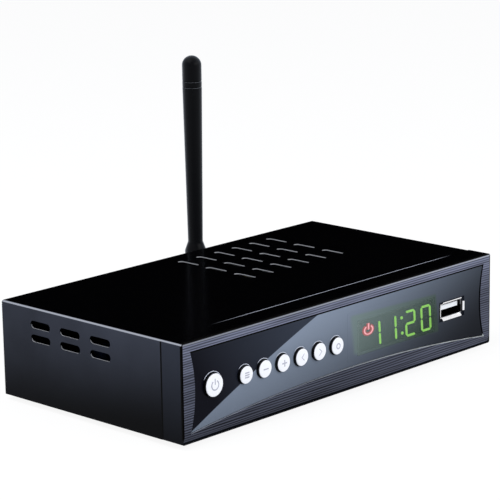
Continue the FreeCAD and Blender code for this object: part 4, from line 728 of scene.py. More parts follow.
def dressed(node, finish, width, body="root"):
    """A CAD node with rounded edges, as a finished piece that stands for it."""
    return piece(f"{node}_form", rounded(merged_copy(node), width), finish, slot_of(node), body, (node,))


def ring_row(radius, height, steps=48):
    """A row of points round a skin."""
    return [(radius, 2 * math.pi * i / steps, height) for i in range(steps)]


def corner_row(left, foot, right, top, height):
    """A rectangle's corners as a row for a skin."""
    corners = (right, top), (-left, top), (-left, -foot), (right, -foot)
    return [(math.hypot(x, y), math.atan2(y, x), height) for x, y in corners]


def skinned(rows, closed_at=()):
    """Joins rows of (radius, angle, height) points, or single points, closed by a face at given ends."""
    bm = bmesh.new()
    rings = [[bm.verts.new((r * math.cos(a), r * math.sin(a), h)) for r, a, h in row] for row in rows]
    for low, high in zip(rings, rings[1:]):
        count = max(len(low), len(high))
        for i in range(count):
            j = (i + 1) % count
            ends = low[i % len(low)], low[j % len(low)], high[j % len(high)], high[i % len(high)]
            face = list(dict.fromkeys(ends))
            if len(face) > 2:
                bm.faces.new(face)
    for end in closed_at:
        bm.faces.new(rings[end])
    bmesh.ops.recalc_face_normals(bm, faces=bm.faces)
    return as_mesh(bm)


def lathe(profile, steps=64):
    """Turns (radius, height) points about Z; the profile runs up the outside."""
    return skinned([ring_row(radius, height, steps if radius else 1) for radius, height in profile])


def quarter(centre_radius, centre_height, radius, start, end, steps=6):
    """Points of a rounded edge in a lathe profile, with angles in degrees from the radial way."""
    angles = [math.radians(start + (end - start) * i / steps) for i in range(steps + 1)]
    return [(centre_radius + radius * math.cos(a), centre_height + radius * math.sin(a)) for a in angles]


def threaded(radius, depth, pitch, start, end, steps=48):
    """A threaded barrel's side, from start to end, as rows of points round it."""
    rows = []
    count = round((end - start) / pitch * 8)
    for i in range(count + 1):
        height = start + (end - start) * i / count
        fade = min(1, (height - start) / pitch, (end - height) / pitch)
        phases = [(height / pitch - j / steps) % 1 for j in range(steps)]
        grooves = [depth * fade * min(1, max(0, 1.25 - abs(phase - 0.5) * 3.4)) for phase in phases]
        rows.append([(radius - groove, 2 * math.pi * j / steps, height) for j, groove in enumerate(grooves)])
    return rows


def outline(loops, dimensions="2D"):
    """A curve of closed loops of points."""
    curve = bpy.data.curves.new("outline", "CURVE")
    curve.dimensions = dimensions
    for loop in loops:
        spline = curve.splines.new("POLY")
        spline.points.add(len(loop) - 1)
        for point, (x, y) in zip(spline.points, loop):
            point.co = (x, y, 0, 1)
        spline.use_cyclic_u = True
    return curve


def flat(loops, depth, rim=0.0):
    """A flat piece in XY, from closed loops of points: the outermost is filled, and loops in it are holes."""
    curve = outline(loops)
    curve.fill_mode = "BOTH"
    curve.extrude, curve.bevel_depth = depth / 2 - rim, rim
    curve.bevel_resolution, curve.offset = 1, -rim
    mesh = evaluated(scratch(curve), "flat")
    bpy.data.curves.remove(curve)
    bm = opened(mesh)
    bpy.data.meshes.remove(mesh)
    bmesh.ops.remove_doubles(bm, verts=bm.verts, dist=1e-7)
    bmesh.ops.recalc_face_normals(bm, faces=bm.faces)
    return as_mesh(bm)


def bar(x0, y0, x1, y1, width):
    """Loop of a straight stroke."""
    a, b = Vector((x0, y0)), Vector((x1, y1))
    across = (b - a).orthogonal().normalized() * (width / 2)
    return [tuple(p) for p in (a - across, b - across, b + across, a + across)]


def plus(arm, half):
    """Loop of a plus sign, from the length of its arms and half their width."""
    loop = [(-arm, -half), (-half, -half), (-half, -arm)]
    for _ in range(3):
        loop += [(-y, x) for x, y in loop[-3:]]
    return loop


def rectangle(box, margin=0.0):
    """Loop of a box's front, smaller by a margin."""
    low, high = box
    x0, z0, x1, z1 = low.x + margin, low.z + margin, high.x - margin, high.z - margin
    return [(x0, z0), (x1, z0), (x1, z1), (x0, z1)]


def polygon(radius, count):
    """Loop of a regular polygon."""
    turns = [2 * math.pi * i / count for i in range(count)]
    return [(radius * math.cos(a), radius * math.sin(a)) for a in turns]


def band(radius, width, start=0, end=360, steps=32, lift=0.0):
    """Loops of a curved stroke; a whole turn gives a ring of two loops."""
    whole = end - start == 360
    turns = [math.radians(start + (end - start) * i / steps) for i in range(steps if whole else steps + 1)]
    outer, inner = ([(r * math.cos(a), lift + r * math.sin(a)) for a in turns]
                    for r in (radius + width / 2, radius - width / 2))
    return [outer, inner] if whole else [outer + inner[::-1]]


# ---------------------------------------------------------------- geometry nodes
class NodeTree(Nodes):
    """A geometry node tree with named inputs, ending in Realize Instances and Set Material."""

    def __init__(self, name, inputs):
        super().__init__(bpy.data.node_groups.new(name, "GeometryNodeTree"), "GeometryNode")
        face = self.tree.interface
        for label, kind in {"Geometry": "Geometry", **inputs, "Finish": "Material"}.items():
            face.new_socket(label, in_out="INPUT", socket_type=f"NodeSocket{kind}")
        face.new_socket("Geometry", in_out="OUTPUT", socket_type="NodeSocketGeometry")
        outputs = self.tree.nodes.new("NodeGroupInput").outputs
        self.source = {socket.name: Signal(self, socket) for socket in outputs}

    def end(self, geometry):
        whole = self.node("RealizeInstances", {}, {"Geometry": geometry})
        finished = self.node("SetMaterial", {}, {"Geometry": whole, "Material": self.source["Finish"]})
        self.node("NodeGroupOutput", {}, {0: finished})
        return self

    def applied(self, obj, values):
        """Runs the tree on an object and gives the plain mesh; the object goes."""
        modifier = obj.modifiers.new(self.tree.name, "NODES")
        modifier.node_group = self.tree
        for item in self.tree.interface.items_tree:
            if item.in_out == "INPUT" and item.name in values:
                modifier[item.identifier] = values[item.name]
        return evaluated(obj, self.tree.name)


GRIDS = ("Left", "Top", "Right")


def vented_sheet_tree():
    """Fills an outline round grids of round-ended slots, and gives it the sheet's thickness."""
    inputs = {"Wall": "Float", "Slot Length": "Float", "Slot Width": "Float"}
    for grid in GRIDS:
        inputs.update({f"{grid} Centre": "Vector", f"{grid} Columns": "Int", f"{grid} Rows": "Int",
                       f"{grid} Pitch X": "Float", f"{grid} Pitch Y": "Float"})
    nodes = NodeTree("Vented Sheet", inputs)
    node, source = nodes.node, nodes.source
    blank = node("CurvePrimitiveQuadrilateral", {"mode": "RECTANGLE"},
                 {"Width": source["Slot Width"], "Height": source["Slot Length"]})
    slot = node("FilletCurve", {"mode": "POLY"},
                {"Curve": blank, "Radius": source["Slot Width"] * 0.4999, "Count": 9})
    outlines = [source["Geometry"]]
    for grid in GRIDS:
        columns, rows = source[f"{grid} Columns"], source[f"{grid} Rows"]
        points = node("MeshGrid", {}, {"Size X": (columns - 1) * source[f"{grid} Pitch X"],
                                       "Size Y": (rows - 1) * source[f"{grid} Pitch Y"],
                                       "Vertices X": columns, "Vertices Y": rows})
        placed = node("Transform", {}, {"Geometry": points, "Translation": source[f"{grid} Centre"]})
        outlines.append(node("InstanceOnPoints", {}, {"Points": placed, "Instance": slot}))
    together = node("RealizeInstances", {}, {"Geometry": node("JoinGeometry", {}, {"Geometry": outlines})})
    skin = node("FillCurve", {"mode": "NGONS"}, {"Curve": together})
    depth = node("ShaderNodeCombineXYZ", {}, {"Z": source["Wall"] * -1})
    pushed = node("ExtrudeMesh", {"mode": "FACES"}, {"Mesh": skin, "Offset": depth, "Individual": False})
    both = node("JoinGeometry", {}, {"Geometry": [skin, node("FlipFaces", {}, {"Mesh": pushed})]})
    return nodes.end(node("MergeByDistance", {}, {"Geometry": both, "Distance": 1e-6}))


@functools.cache
def repeat_tree():
    """Puts one shape on each point, turned by the point's "turn"."""
    nodes = NodeTree("Repeat", {"Shape": "Object"})
    shape = nodes.node("ObjectInfo", {"transform_space": "ORIGINAL"}, {"Object": nodes.source["Shape"]},
                       "Geometry")
    turn = nodes.node("InputNamedAttribute", {"data_type": "FLOAT_VECTOR"}, {"Name": "turn"})
    rotation = nodes.node("FunctionNodeEulerToRotation", {}, {0: turn})
    return nodes.end(nodes.node("InstanceOnPoints", {}, {
        "Points": nodes.source["Geometry"], "Instance": shape, "Rotation": rotation}))


def repeated(shape, places, finish):
    """One shape at each (point, turn), as one plain mesh."""
    points = bpy.data.meshes.new("places")
    points.from_pydata([tuple(place) for place, _ in places], [], [])
    turns = points.attributes.new("turn", "FLOAT_VECTOR", "POINT")
    turns.data.foreach_set("vector", [part for _, turn in places for part in turn])
    pattern = scratch(shape, "pattern")
    mesh = repeat_tree().applied(scratch(points), {"Shape": pattern, "Finish": FINISHES[finish]})
    bpy.data.objects.remove(pattern)
    return mesh


class Make(bpy.types.Operator):
    """Shared base of the operators that make pieces."""
    bl_options = {"REGISTER", "UNDO"}

    def execute(self, context):
        self.make()
        return {"FINISHED"}


# ------------------------------------------------------------------------- pieces
class RECEIVER_OT_finishes(Make):
    """Makes the finishes and gives the carried-over solids theirs"""
    bl_idname = "receiver.finishes"
    bl_label = "Finishes"

    def make(self):
        make_finishes()
        for part in frame["record"]["subparts"]:
            data = frame["nodes"][part["node"]].data
            data.materials.clear()
            data.materials.append(FINISHES[part["material_slot"]])


def blank_sizes(case):
    """Sizes of the cover's flat blank: a side, a long fold's arc, the width, and the rear fold's start."""
    low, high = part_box("top_cover")
    side, turn = high.z - low.z - case.bend, math.pi / 2 * case.bend
    across = 2 * side + 2 * turn + (high.x - low.x - 2 * case.bend)
    return side, turn, across, high.y - low.y - case.rear_bend


def fold_cover(bm, case, steps=8):
    """Folds the flat cover: two long bends, then the rear tabs."""
    low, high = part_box("top_cover")
    bend, rear, rear_turn = case.bend, case.rear_bend, math.pi / 2 * case.rear_bend
    side, turn, across, rear_start = blank_sizes(case)
    cuts = [((1, 0, 0), start + turn * i / steps)
            for start in (side, across - side - turn) for i in range(steps + 1)]
    cuts += [((0, 1, 0), rear_start + rear_turn * i / steps) for i in range(steps + 1)]
    for normal, place in cuts:
        sliced(bm, Vector(normal) * place, normal)
    for vert in bm.verts:
        u, v, inset = vert.co.x, vert.co.y, -vert.co.z
        mirror = u > across / 2
        u = across - u if mirror else u
        if v > rear_start:
            past = v - rear_start
            angle = min(past / rear, math.pi / 2)
            v = rear_start + (rear - inset) * math.sin(angle)
            inset = rear - (rear - inset) * math.cos(angle) + max(0.0, past - rear_turn)
        if u < side:
            x, z = low.x + inset, low.z + u
        elif u < side + turn:
            angle = (u - side) / bend
            x = low.x + bend - (bend - inset) * math.cos(angle)
            z = high.z - bend + (bend - inset) * math.sin(angle)
        else:
            x, z = low.x + bend + (u - side - turn), high.z - inset
        vert.co = ((low.x + high.x - x) if mirror else x, low.y + v, z)


def slot_loop(long, across, steps=9):
    """Loop of a round-ended slot along Y."""
    turns = [math.pi * i / steps for i in range(steps + 1)]
    far = [(across * math.cos(a), long - across + across * math.sin(a)) for a in turns]
    return far + [(-x, -y) for x, y in far]


class RECEIVER_OT_cover(Make):
    """Cuts the cover's blank with its vents and folds it"""
    bl_idname = "receiver.cover"
    bl_label = "Vented cover"

    def make(self):
        case = settings("case")
        low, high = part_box("top_cover")
        side, turn, across, rear_start = blank_sizes(case)
        depth, relief, mitre = high.y - low.y, case.relief, case.flange - case.bend
        end = rear_start + math.pi / 2 * case.rear_bend + case.flange - case.rear_bend
        inner, outer = side - relief, side + turn + relief
        half = [(0, end), (inner - mitre, end), (inner, rear_start + relief), (inner, rear_start),
                (side, depth - relief), (side + turn, depth - relief), (outer, rear_start),
                (outer, rear_start + relief), (outer + mitre, end)]
        blank = outline([[(0, 0), *half, *((across - u, v) for u, v in reversed(half)), (across, 0)]], "3D")
        level = UNDERSIDE + case.side_level + case.side_rise / 2 - low.z
        over = side + turn + case.top_left + case.top_pitch * (case.top_columns - 1) / 2 - low.x - case.bend
        front = FACE + case.slot_length / 2 - low.y
        side_y = front + case.side_start + case.side_pitch
        top_y = front + case.top_start + case.top_rows_pitch
        beside = side_y, case.side_rows, case.side_rise, case.side_pitch
        on_top = top_y, case.top_columns, case.top_pitch, case.top_rows_pitch
        values = {"Wall": case.wall, "Slot Length": case.slot_length, "Slot Width": case.slot_width,
                  "Finish": FINISHES["cover_paint"]}
        spots = (level, beside), (over, on_top), (across - level, beside)
        for grid, (u, (v, columns, pitch_x, pitch_y)) in zip(GRIDS, spots):
            parts = {"Centre": (u, v, 0.0), "Columns": columns, "Rows": case.rows,
                     "Pitch X": pitch_x, "Pitch Y": pitch_y}
            values.update({f"{grid} {part}": value for part, value in parts.items()})
        bm = opened(vented_sheet_tree().applied(scratch(blank), values))
        fold_cover(bm, case)
        bmesh.ops.recalc_face_normals(bm, faces=bm.faces)
        piece("cover_sheet", rounded(as_mesh(bm), case.rim, 50), "cover_paint", "cover_paint",
              stands_for=("top_cover",))
        self.line_vents(case, low, high)

    def line_vents(self, case, low, high):
        """The bare cut edge of the steel: whole rings in the top, and at the sides only the lower halves,
        where it catches the light, as a painted highlight; the upper halves are left to the painted shade of
        the cut faces.
        """
        long, across = case.slot_length / 2, case.slot_width / 2
        loops = [slot_loop(long - inset, across - inset) for inset in (0.01 * MM, case.cut_edge)]
        # At the sides only the lower halves: the lit part, a painted highlight.
        outer, inner = (loop[len(loop) * 3 // 4:] + loop[:len(loop) // 4] for loop in loops)
        over, beside = [], []
        for i in range(case.rows):
            top_y = FACE + long + case.top_start + i * case.top_rows_pitch
            side_y = FACE + long + case.side_start + i * case.side_pitch
            over += [((case.top_left + j * case.top_pitch, top_y, high.z - case.wall / 2), (0, 0, 0))
                     for j in range(case.top_columns)]
            beside += [((x, side_y, UNDERSIDE + case.side_level + j * case.side_rise), (0, math.pi / 2, 0))
                       for j in range(case.side_rows)
                       for x in (low.x + case.wall / 2, high.x - case.wall / 2)]
        rings = [repeated(flat(shape, case.wall * 0.4), places, "cut_steel")
                 for shape, places in ((loops, over), ([outer + inner[::-1]], beside))]
        piece("vent_edges", joined("vent_edges", rings), "cut_steel", "cover_paint")


class RECEIVER_OT_case(Make):
    """Rounds the edges of the tray, the bezel, the face plate and the insert, and laps the window"""
    bl_idname = "receiver.case"
    bl_label = "Tray and front mouldings"

    def make(self):
        front = settings("front")
        dressed("base_tray", "tray_steel", settings("case").rim)
        dressed("front_bezel", "bezel_plastic", front.soft_edge)
        dressed("face_plate", "brushed_face", front.soft_edge * 0.8)
        dressed("fascia_insert", "insert_gloss", front.soft_edge * 1.2)
        low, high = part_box("display_window")
        centre, half = middle("display_window"), (high - low) / 2
        inner = half.x, half.z, half.x, half.z
        laps = front.lap_left, front.lap_foot, front.lap_right, front.lap_top
        outer = [size + lap for size, lap in zip(inner, laps)]
        rows = [corner_row(*outer, front.lap), corner_row(*outer, 0),
                corner_row(*inner, 0), corner_row(*inner, -half.y * 2)]
        window = moved(skinned(rows, (0, -1)), put((centre.x, low.y, centre.z), FRONTWARD))
        piece("display_window_front", window, "window_tint", "window_tint", stands_for=("display_window",))


def power_sign(radius, width, foot, top, lift=0.0):
    """Strokes of the power sign: an open ring and a stem."""
    return [*band(radius, width, 125, 415, lift=lift), bar(0, foot, 0, top, width)]


def mark_loops(key, width):
    """Strokes of the mark on a key, about its centre."""
    if key == "power":
        return power_sign(1.75 * MM, width, 0.2 * MM, 2.4 * MM)
    if key == "menu":
        return [bar(-1.1 * MM, rise * MM, 1.1 * MM, rise * MM, width) for rise in (-0.85, 0, 0.85)]
    if key == "volume_down":
        return [bar(-1.3 * MM, 0, 1.3 * MM, 0, width)]
    if key == "volume_up":
        return [plus(1.25 * MM, width / 2)]
    if key == "ok":
        return band(0.95 * MM, width)
    way = 1 if key == "channel_up" else -1
    tip, back, arm, cut = way * 0.75 * MM, way * -0.6 * MM, 1.3 * MM, way * width * 0.8
    return [[(tip, 0), (back, arm), (back - cut, arm), (tip - cut, 0), (back - cut, -arm), (back, -arm)]]


def crowned(mesh, radius, top, crown):
    """Lays a flat mark on a key's crowned face."""
    bm = opened(mesh)
    for axis in (Vector((1, 0, 0)), Vector((0, 1, 0))):
        for i in range(-8, 9):
            sliced(bm, axis * (i * 0.35 * MM), axis)
    for vert in bm.verts:
        vert.co.z += top - crown * vert.co.xy.length_squared / radius ** 2
    return as_mesh(bm)


def laid_on(mesh, node, rise):
    """Lays a flat mark that stands in XZ on a CAD node's rear face."""
    bm = opened(frame["nodes"][node].data)
    tree = BVHTree.FromBMesh(bm)
    bm.free()
    for vert in mesh.vertices:
        face = tree.ray_cast(Vector((vert.co.x, 1, vert.co.z)), Vector((0, -1, 0)))[0]
        vert.co.y = face.y + math.copysign(rise, vert.co.y)
    return mesh


class RECEIVER_OT_keys(Make):
    """Turns the crowned keys with their collars and stems, and prints a mark on each"""
    bl_idname = "receiver.keys"
    bl_label = "Keys"

    def make(self):
        front = settings("front")
        edge, crown = front.key_edge, front.key_dish
        collar = -(FACE + front.collar_depth)
        behind = collar - front.collar_rise
        rims = []
        for key in KEYS:
            node = f"{key}_key"
            low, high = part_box(node)
            centre, rim = middle(node), (high.x - low.x) / 2
            radius, top = rim - front.collar_width, -low.y - front.mark_rise
            swell = [((radius - edge) * i / 6, top - crown * (i / 6) ** 2) for i in range(6, -1, -1)]
            profile = [(0, -high.y), (front.stem, -high.y), (front.stem, behind), (rim, behind),
                       (rim, collar), (radius, collar),
                       *quarter(radius - edge, top - crown - edge, edge, 0, 90), *swell[1:]]
            place = put((centre.x, 0, centre.z), FRONTWARD)
            piece(f"{key}_cap", moved(lathe(profile), place), "key_white", "key_white", node, (node,))
            mark = flat(mark_loops(key, front.mark_width), 2 * front.mark_rise)
            mark = moved(crowned(mark, radius - edge, top, crown), place)
            piece(f"{key}_mark", mark, "key_mark", "key_white", node)
            ring = flat(band(radius + front.rim_gap, front.rim_width, steps=48), front.rim_rise)
            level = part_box("fascia_insert")[0].y - front.rim_rise / 2
            rims.append(moved(ring, put((centre.x, level, centre.z), FRONTWARD)))
        piece("key_rims", joined("key_rims", rims), "key_rim", "insert_gloss")


TIME = "1120"
DIGITS = {"0": "abcdef", "1": "bc", "2": "abged"}
BARS = {"a": (0, 1, 0), "b": (1, 0.5, 90), "c": (1, -0.5, 90), "d": (0, -1, 0),
        "e": (-1, -0.5, 90), "f": (-1, 0.5, 90), "g": (0, 0, 0)}    # place across and up, and turn


class RECEIVER_OT_display(Make):
    """Sets the lit digits' bars, the colon, the display's backing and the standby light"""
    bl_idname = "receiver.display"
    bl_label = "Display"

    def make(self):
        front = settings("front")
        low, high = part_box("digit_segments")
        level = (low.z + high.z) / 2 - front.digits_drop
        wide, tall = front.digit_width - front.bar_width, (high.z - low.z) - front.bar_width
        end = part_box("display_module")[1].x - front.digits_end
        middle_x = end - front.digit_width / 2 - front.digit_pitch - front.colon_pitch / 2
        places = [middle_x + way * (front.colon_pitch / 2 + step * front.digit_pitch)
                  for way, step in ((-1, 1), (-1, 0), (1, 0), (1, 1))]
        half, depth, deep = front.bar_width / 2, high.y - low.y, (low.y + high.y) / 2
        meshes = []
        for turn, span in ((90, tall / 2), (0, wide)):
            reach = span / 2 - front.bar_gap
            shape = [(-reach, 0), (half - reach, -half), (reach - half, -half),
                     (reach, 0), (reach - half, half), (half - reach, half)]
            stand = math.pi / 2, math.radians(-turn), 0
            chosen = [((x + across * wide / 2, deep, up * tall / 2 + level), stand)
                      for x, digit in zip(places, TIME) for label, (across, up, angle) in BARS.items()
                      if angle == turn and label in DIGITS[digit]]
            meshes.append(repeated(flat([shape], depth, 0.05 * MM), chosen, "digit_green"))
        size = front.dot
        dot = lathe([(0, 0), (size, 0), (size, depth * 0.8), (size * 0.8, depth), (0, depth)], 24)
        dots = [((middle_x + size, high.y, level + way * front.dot_rise), (math.pi / 2, 0, 0))
                for way in (-1, 1)]
        meshes.append(repeated(dot, dots, "digit_green"))
        lean = Matrix.Identity(4)
        lean[0][2], lean[0][3] = -front.slant, front.slant * level
        piece("digits_lit", moved(joined("digits_lit", meshes), lean), "digit_green", "digit_green",
              stands_for=("digit_segments",))
        # The display's backing glows with the haze's tone: painted light.
        window, module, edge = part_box("display_window"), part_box("display_module"), 0.02 * MM
        front_y, back_y = window[1].y - 2 * edge, module[0].y
        sides = flat([rectangle(window, 0.05 * MM), rectangle(module, edge)], back_y - front_y)
        glow = [moved(sides, put((0, (front_y + back_y) / 2, 0), FRONTWARD)),
                moved(flat([rectangle(module, edge)], 2 * edge), put((0, high.y + edge, 0), FRONTWARD))]
        piece("display_glow", joined("display_glow", glow), "display_black", "display_black")
        self.standby(front)

    def standby(self, front):
        """The lit standby symbol on a wider glowing stroke, a painted glow."""
        low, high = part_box("standby_indicator")
        radius, centre = (high.x - low.x) / 2, middle("standby_indicator")
        wide = Matrix.Diagonal((front.standby_spread, 1, 1, 1))
        # The halo is a painted glow round the symbol.
        for name, width, finish, lift, covers in (
                ("standby_halo", 1.4 * MM, "indicator_halo", 0.3 * MM, ()),
                ("standby_symbol", 0.42 * MM, "indicator_red", 0.1 * MM, ("standby_indicator",))):
            loops = power_sign(radius - 0.65 * MM, width, 0, radius + 0.2 * MM, -0.1 * MM)
            place = put((centre.x + front.standby_shift, low.y + lift, centre.z - front.digits_drop),
                        FRONTWARD) @ wide
            strokes = [moved(flat([loop], 0.2 * MM), place) for loop in loops]
            piece(name, joined(name, strokes), finish, "indicator_red", stands_for=covers)


class RECEIVER_OT_usb(Make):
    """Finishes the front USB socket, with contacts under its tongue"""
    bl_idname = "receiver.usb"
    bl_label = "USB socket"

    def make(self):
        dressed("usb_shell", "usb_lips", 0.1 * MM)
        dressed("usb_tongue", "usb_plastic", 0.12 * MM)
        start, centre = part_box("usb_tongue")[0].y + 4.5 * MM, middle("usb_tongue")
        wide, long = 0.5 * MM, 3.5 * MM
        contact = flat([[(-wide, -long), (wide, -long), (wide, long), (-wide, long)]], 0.12 * MM, 0.03 * MM)
        places = [((centre.x + step * MM, start, centre.z + 0.15 * MM), (0, 0, 0))
                  for step in (-3.5, -1, 1, 3.5)]
        piece("usb_contacts", repeated(contact, places, "gold_plate"), "gold_plate", "gold_plate")


class RECEIVER_OT_sockets(Make):
    """Cuts the coaxial connectors' threads and finishes the other rear sockets"""
    bl_idname = "receiver.sockets"
    bl_label = "Rear sockets"

    def make(self):
        rear = settings("rear")
        for node in ("lnb_loop_connector", "lnb_input_connector"):
            self.coaxial(node, rear)
        for node, finish in (("phono_barrels", "nickel"), ("left_audio_jack", "jack_white"),
                             ("right_audio_jack", "jack_red"), ("video_jack", "jack_yellow"),
                             ("digital_audio_jack", "jack_orange"), ("hdmi_shell", "plated_shell"),
                             ("hdmi_tongue", "socket_black"), ("power_inlet", "socket_black"),
                             ("rocker_housing", "socket_black"), ("antenna_nut", "nickel")):
            dressed(node, finish, rear.soft_edge)

    def coaxial(self, node, rear):
        """A threaded barrel with its nut, and the white core in its mouth."""
        (low, high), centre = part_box(node), middle(node)
        start, end, radius, mouth = low.y, high.y, rear.barrel, rear.bore
        nut_start, neck = start + rear.nut_start, radius - 0.5 * MM
        nut_end = nut_start + rear.nut_height
        rows = [ring_row(neck, start), ring_row(neck, nut_end),
                *threaded(radius, rear.thread_depth, rear.thread_pitch, nut_end, end - 0.4 * MM),
                ring_row(radius - 0.35 * MM, end), ring_row(mouth + 0.2 * MM, end),
                ring_row(mouth, end - 0.2 * MM), ring_row(mouth, end - 1 * MM)]
        hexagon = polygon(rear.nut_half / math.cos(math.pi / 6), 6)
        nut = moved(flat([hexagon], rear.nut_height, 0.15 * MM), put((0, 0, (nut_start + nut_end) / 2)))
        place = put((centre.x, 0, centre.z), REARWARD)
        barrel = moved(joined("barrel", [skinned(rows), nut]), place)
        piece(f"{node}_barrel", barrel, "nickel", "nickel", stands_for=(node,))
        disc, hole = mouth - 0.02 * MM, 0.6 * MM
        core = lathe([(disc, end - 1.6 * MM), (disc, end - 1 * MM), (hole + 0.5 * MM, end - 0.8 * MM),
                      (hole, end - 0.8 * MM), (hole, end - 6 * MM), (0, end - 6 * MM)], 48)
        piece(f"{node}_core", moved(core, place), "jack_white", "nickel")


class RECEIVER_OT_rocker(Make):
    """Finishes the rocker with its two marks"""
    bl_idname = "receiver.rocker"
    bl_label = "Rocker switch"

    def make(self):
        dressed("rocker", "rocker_black", 0.35 * MM, "rocker")
        low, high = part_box("rocker")
        centre, arm = middle("rocker"), (high.z - low.z) * 0.27
        for name, loops, way in (("rocker_on_mark", [bar(0, -0.8 * MM, 0, 0.8 * MM, 0.35 * MM)], 1),
                                 ("rocker_off_mark", band(0.75 * MM, 0.3 * MM), -1)):
            mark = moved(flat(loops, 0.04 * MM), put((centre.x, 0, centre.z + way * arm), REARWARD))
            piece(name, laid_on(mark, "rocker", 0.02 * MM), "jack_white", "rocker_black", "rocker")


class RECEIVER_OT_antenna(Make):
    """Turns the antenna's whip and finishes its knuckle"""
    bl_idname = "receiver.antenna"
    bl_label = "Antenna"

    def make(self):
        dressed("antenna_swivel", "antenna_black", 0.25 * MM, "antenna_swivel")
        dressed("antenna_pin", "screw_steel", 0.15 * MM, "antenna_swivel")
        rear, node = settings("rear"), "antenna_whip"
        centre, tip = middle(node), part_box(node)[1].z
        bm = opened(rounded(merged_copy(node), 0.12 * MM))
        halves = sliced(bm, (0, 0, tip - rear.tip_length), (0, 0, 1), clear_outer=True)
        rim = [part for part in halves["geom_cut"] if isinstance(part, bmesh.types.BMEdge)]
        bmesh.ops.edgeloop_fill(bm, edges=rim)
        radius = max((vert.co.xy - centre.xy).length for edge in rim for vert in edge.verts)
        stem, end, inner = as_mesh(bm), -rear.tip_length, radius - rear.ring_depth
        profile = [(0, end - 0.3 * MM), (inner, end - 0.3 * MM), (inner, end), (radius, end)]
        for place in rear.ring_places:
            low, high = -place - rear.ring_width / 2, -place + rear.ring_width / 2
            profile += [(radius, low), (inner, low), (inner, high), (radius, high)]
        profile += [*quarter(0, -radius, radius, 0, 90, 12)[:-1], (0, 0)]
        dome = moved(lathe(profile), put((centre.x, centre.y, tip)))
        whip = joined("whip", [stem, dome])
        piece("antenna_whip_form", whip, "antenna_black", slot_of(node), node, (node,))


class RECEIVER_OT_screws(Make):
    """Puts pan-head screws with a cross recess in the cover's rear flange"""
    bl_idname = "receiver.screws"
    bl_label = "Screws"

    def make(self):
        case = settings("case")
        low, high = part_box("cover_screws")
        head, height = case.screw_head, case.screw_rise
        recess = plus(case.recess_reach, case.recess_width / 2)
        cap = flat([polygon(head * 0.86, 36), recess], 0.5 * MM, 0.08 * MM)
        cap = moved(cap, put((0, 0, height - 0.25 * MM)))
        skirt = lathe([(0, 0), (head, 0), (head, height * 0.45),
                       *quarter(head * 0.72, height * 0.45, head * 0.28, 0, 60, 4),
                       (head * 0.84, height - 0.3 * MM), (0, height - 0.5 * MM)], 36)
        centres = [(low.x + head, low.z + head), (high.x - head, low.z + head),
                   (case.upper_screw, high.z - head)]
        places = [((x, high.y - height, z), (-math.pi / 2, 0, 0)) for x, z in centres]
        mesh = repeated(joined("screw", [cap, skirt]), places, "screw_steel")
        piece("cover_screw_heads", mesh, "screw_steel", "screw_steel", stands_for=("cover_screws",))


class RECEIVER_OT_feet(Make):
    """Turns the rubber feet"""
    bl_idname = "receiver.feet"
    bl_label = "Feet"

    def make(self):
        for node in ("foot_front_left", "foot_front_right", "foot_rear_left", "foot_rear_right"):
            low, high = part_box(node)
            centre, radius = middle(node), (high.x - low.x) / 2
            edge, sole = 0.6 * MM, 0.35 * MM
            profile = [(0, sole), (radius - 2.2 * MM, sole), (radius - 1.9 * MM, 0), (radius - edge, 0),
                       *quarter(radius - edge, edge, edge, -70, 0, 5), (radius, high.z), (0, high.z)]
            foot = moved(lathe(profile, 48), put((centre.x, centre.y, 0)))
            piece(f"{node}_pad", foot, "foot_rubber", "foot_rubber", stands_for=(node,))


# -------------------------------------------------------------------------- stage
CAMERA_PLACE = Vector((-0.609990, -0.592168, 0.250724))
CAMERA_ROWS = ((0.687587, -0.725936, -0.015524), (0.179420, 0.149147, 0.972401),
               (-0.703585, -0.671396, 0.232800))
CAMERA_LENS = 161.251


def white_where_seen(nodes, shader, glow, share=1.0, brightness=1.0):
    """Mixes a shader with plain white light for camera, glossy and transmission rays."""
    camera, glossy, through = (nodes.node("LightPath", {}, {}, f"Is {kind} Ray")
                               for kind in ("Camera", "Glossy", "Transmission"))
    seen = (camera + glossy + through).clamped() * share
    white = nodes.node(glow, {}, {"Color": (1, 1, 1), "Strength": brightness})
    return nodes.node("MixShader", {}, {0: seen, 1: shader, 2: white})


def soft_light(name, place, size, power):
    """A rectangular lamp that faces the receiver."""
    lamp = bpy.data.lights.new(name, "AREA")
    lamp.shape, lamp.energy = "RECTANGLE", power
    lamp.size, lamp.size_y = size
    obj = scratch(lamp, name)
    obj.location = place
    obj.rotation_euler = (Vector((0, 0, 0.02)) - Vector(place)).to_track_quat("-Z", "Y").to_euler()


def sheet(name, size, material):
    """A flat square of the stage."""
    bm = bmesh.new()
    bmesh.ops.create_grid(bm, x_segments=1, y_segments=1, size=size)
    obj = scratch(as_mesh(bm, name), name)
    obj.data.materials.append(material)
    return obj


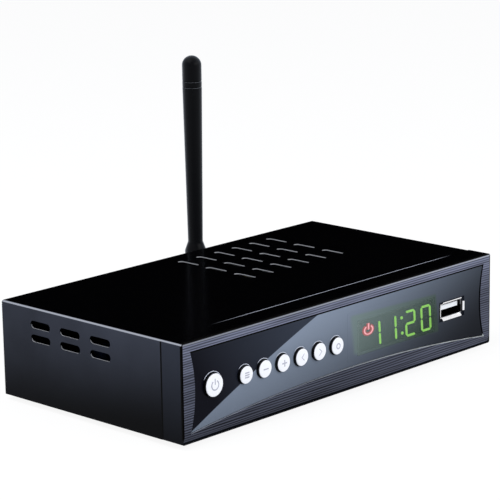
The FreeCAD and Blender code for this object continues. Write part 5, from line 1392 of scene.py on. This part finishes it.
class RECEIVER_OT_stage(Make):
    """Makes the pale floor, the dark card, the soft lights, the world and the camera"""
    bl_idname = "receiver.stage"
    bl_label = "Stage"

    def make(self):
        floor, card = Finish("floor_paint"), Finish("card_black")
        paper = floor.mix(floor.noise(12), (0.80, 0.80, 0.80), (0.83, 0.83, 0.83))
        matt = floor.node("BsdfDiffuse", {}, {"Color": paper})
        sheet("floor", 6, floor.ended(white_where_seen(floor, matt, "Emission", 0.86, 1.05)))
        screen = sheet("reflection_card", 0.5, card.surface(Base_Color=(0.002, 0.002, 0.002), Roughness=1.0,
                                                            Specular_IOR_Level=0.0))
        away = Vector((0.70358, 0.67140, 0)).normalized()
        screen.matrix_world = (put(away * 0.55 + Vector((0, 0, 0.34)),
                                   away.to_track_quat("Z", "Y").to_matrix().to_4x4())
                               @ Matrix.Diagonal((1.6, 0.6, 1, 1)))
        for ray in ("camera", "diffuse", "transmission", "shadow", "volume_scatter"):
            setattr(screen, f"visible_{ray}", False)
        soft_light("key_light", (-0.5, 0.1, 0.9), (0.7, 0.7), 6)
        soft_light("front_light", (0.3, -1.0, 0.5), (0.9, 0.5), 7)
        scene = bpy.context.scene
        scene.world = bpy.data.worlds.new("studio")
        scene.world.use_nodes = True
        sky = Nodes(scene.world.node_tree, "ShaderNode")
        room = sky.node("Background", {}, {"Color": (0.72, 0.76, 0.84), "Strength": 0.62})
        sky.node("OutputWorld", {}, {"Surface": white_where_seen(sky, room, "Background")})
        camera = bpy.data.cameras.new("camera")
        camera.lens, camera.sensor_width, camera.sensor_fit = CAMERA_LENS, 36, "HORIZONTAL"
        camera.clip_start, camera.clip_end = 0.01, 20
        scene.camera = scratch(camera, "camera")
        scene.camera.matrix_world = put(CAMERA_PLACE, Matrix(CAMERA_ROWS).transposed().to_4x4())
        scene.view_settings.view_transform = "Standard"


OPERATORS = (RECEIVER_OT_finishes, RECEIVER_OT_cover, RECEIVER_OT_case, RECEIVER_OT_keys,
             RECEIVER_OT_display, RECEIVER_OT_usb, RECEIVER_OT_sockets, RECEIVER_OT_rocker,
             RECEIVER_OT_antenna, RECEIVER_OT_screws, RECEIVER_OT_feet, RECEIVER_OT_stage)


class RECEIVER_PT_panel(bpy.types.Panel):
    """Sizes and steps of the receiver"""
    bl_label = "Receiver"
    bl_space_type = "VIEW_3D"
    bl_region_type = "UI"
    bl_category = "Receiver"

    def draw(self, context):
        for group in SETTINGS:
            box = self.layout.box()
            box.label(text=group.title())
            for item in settings(group).bl_rna.properties:
                if item.identifier not in ("rna_type", "name"):
                    box.prop(settings(group), item.identifier)
        for operator in OPERATORS:
            self.layout.operator(operator.bl_idname)


def register():
    for group, kind in SETTINGS.items():
        bpy.utils.register_class(kind)
        setattr(bpy.types.Scene, f"receiver_{group}", PointerProperty(type=kind))
    for kind in (*OPERATORS, RECEIVER_PT_panel):
        bpy.utils.register_class(kind)


def unregister():
    for kind in (RECEIVER_PT_panel, *reversed(OPERATORS)):
        bpy.utils.unregister_class(kind)
    for group, kind in SETTINGS.items():
        delattr(bpy.types.Scene, f"receiver_{group}")
        bpy.utils.unregister_class(kind)


def main():
    register()
    for operator in OPERATORS:
        getattr(bpy.ops.receiver, operator.bl_idname.split(".")[1])()


if __name__ == "__main__":
    main()
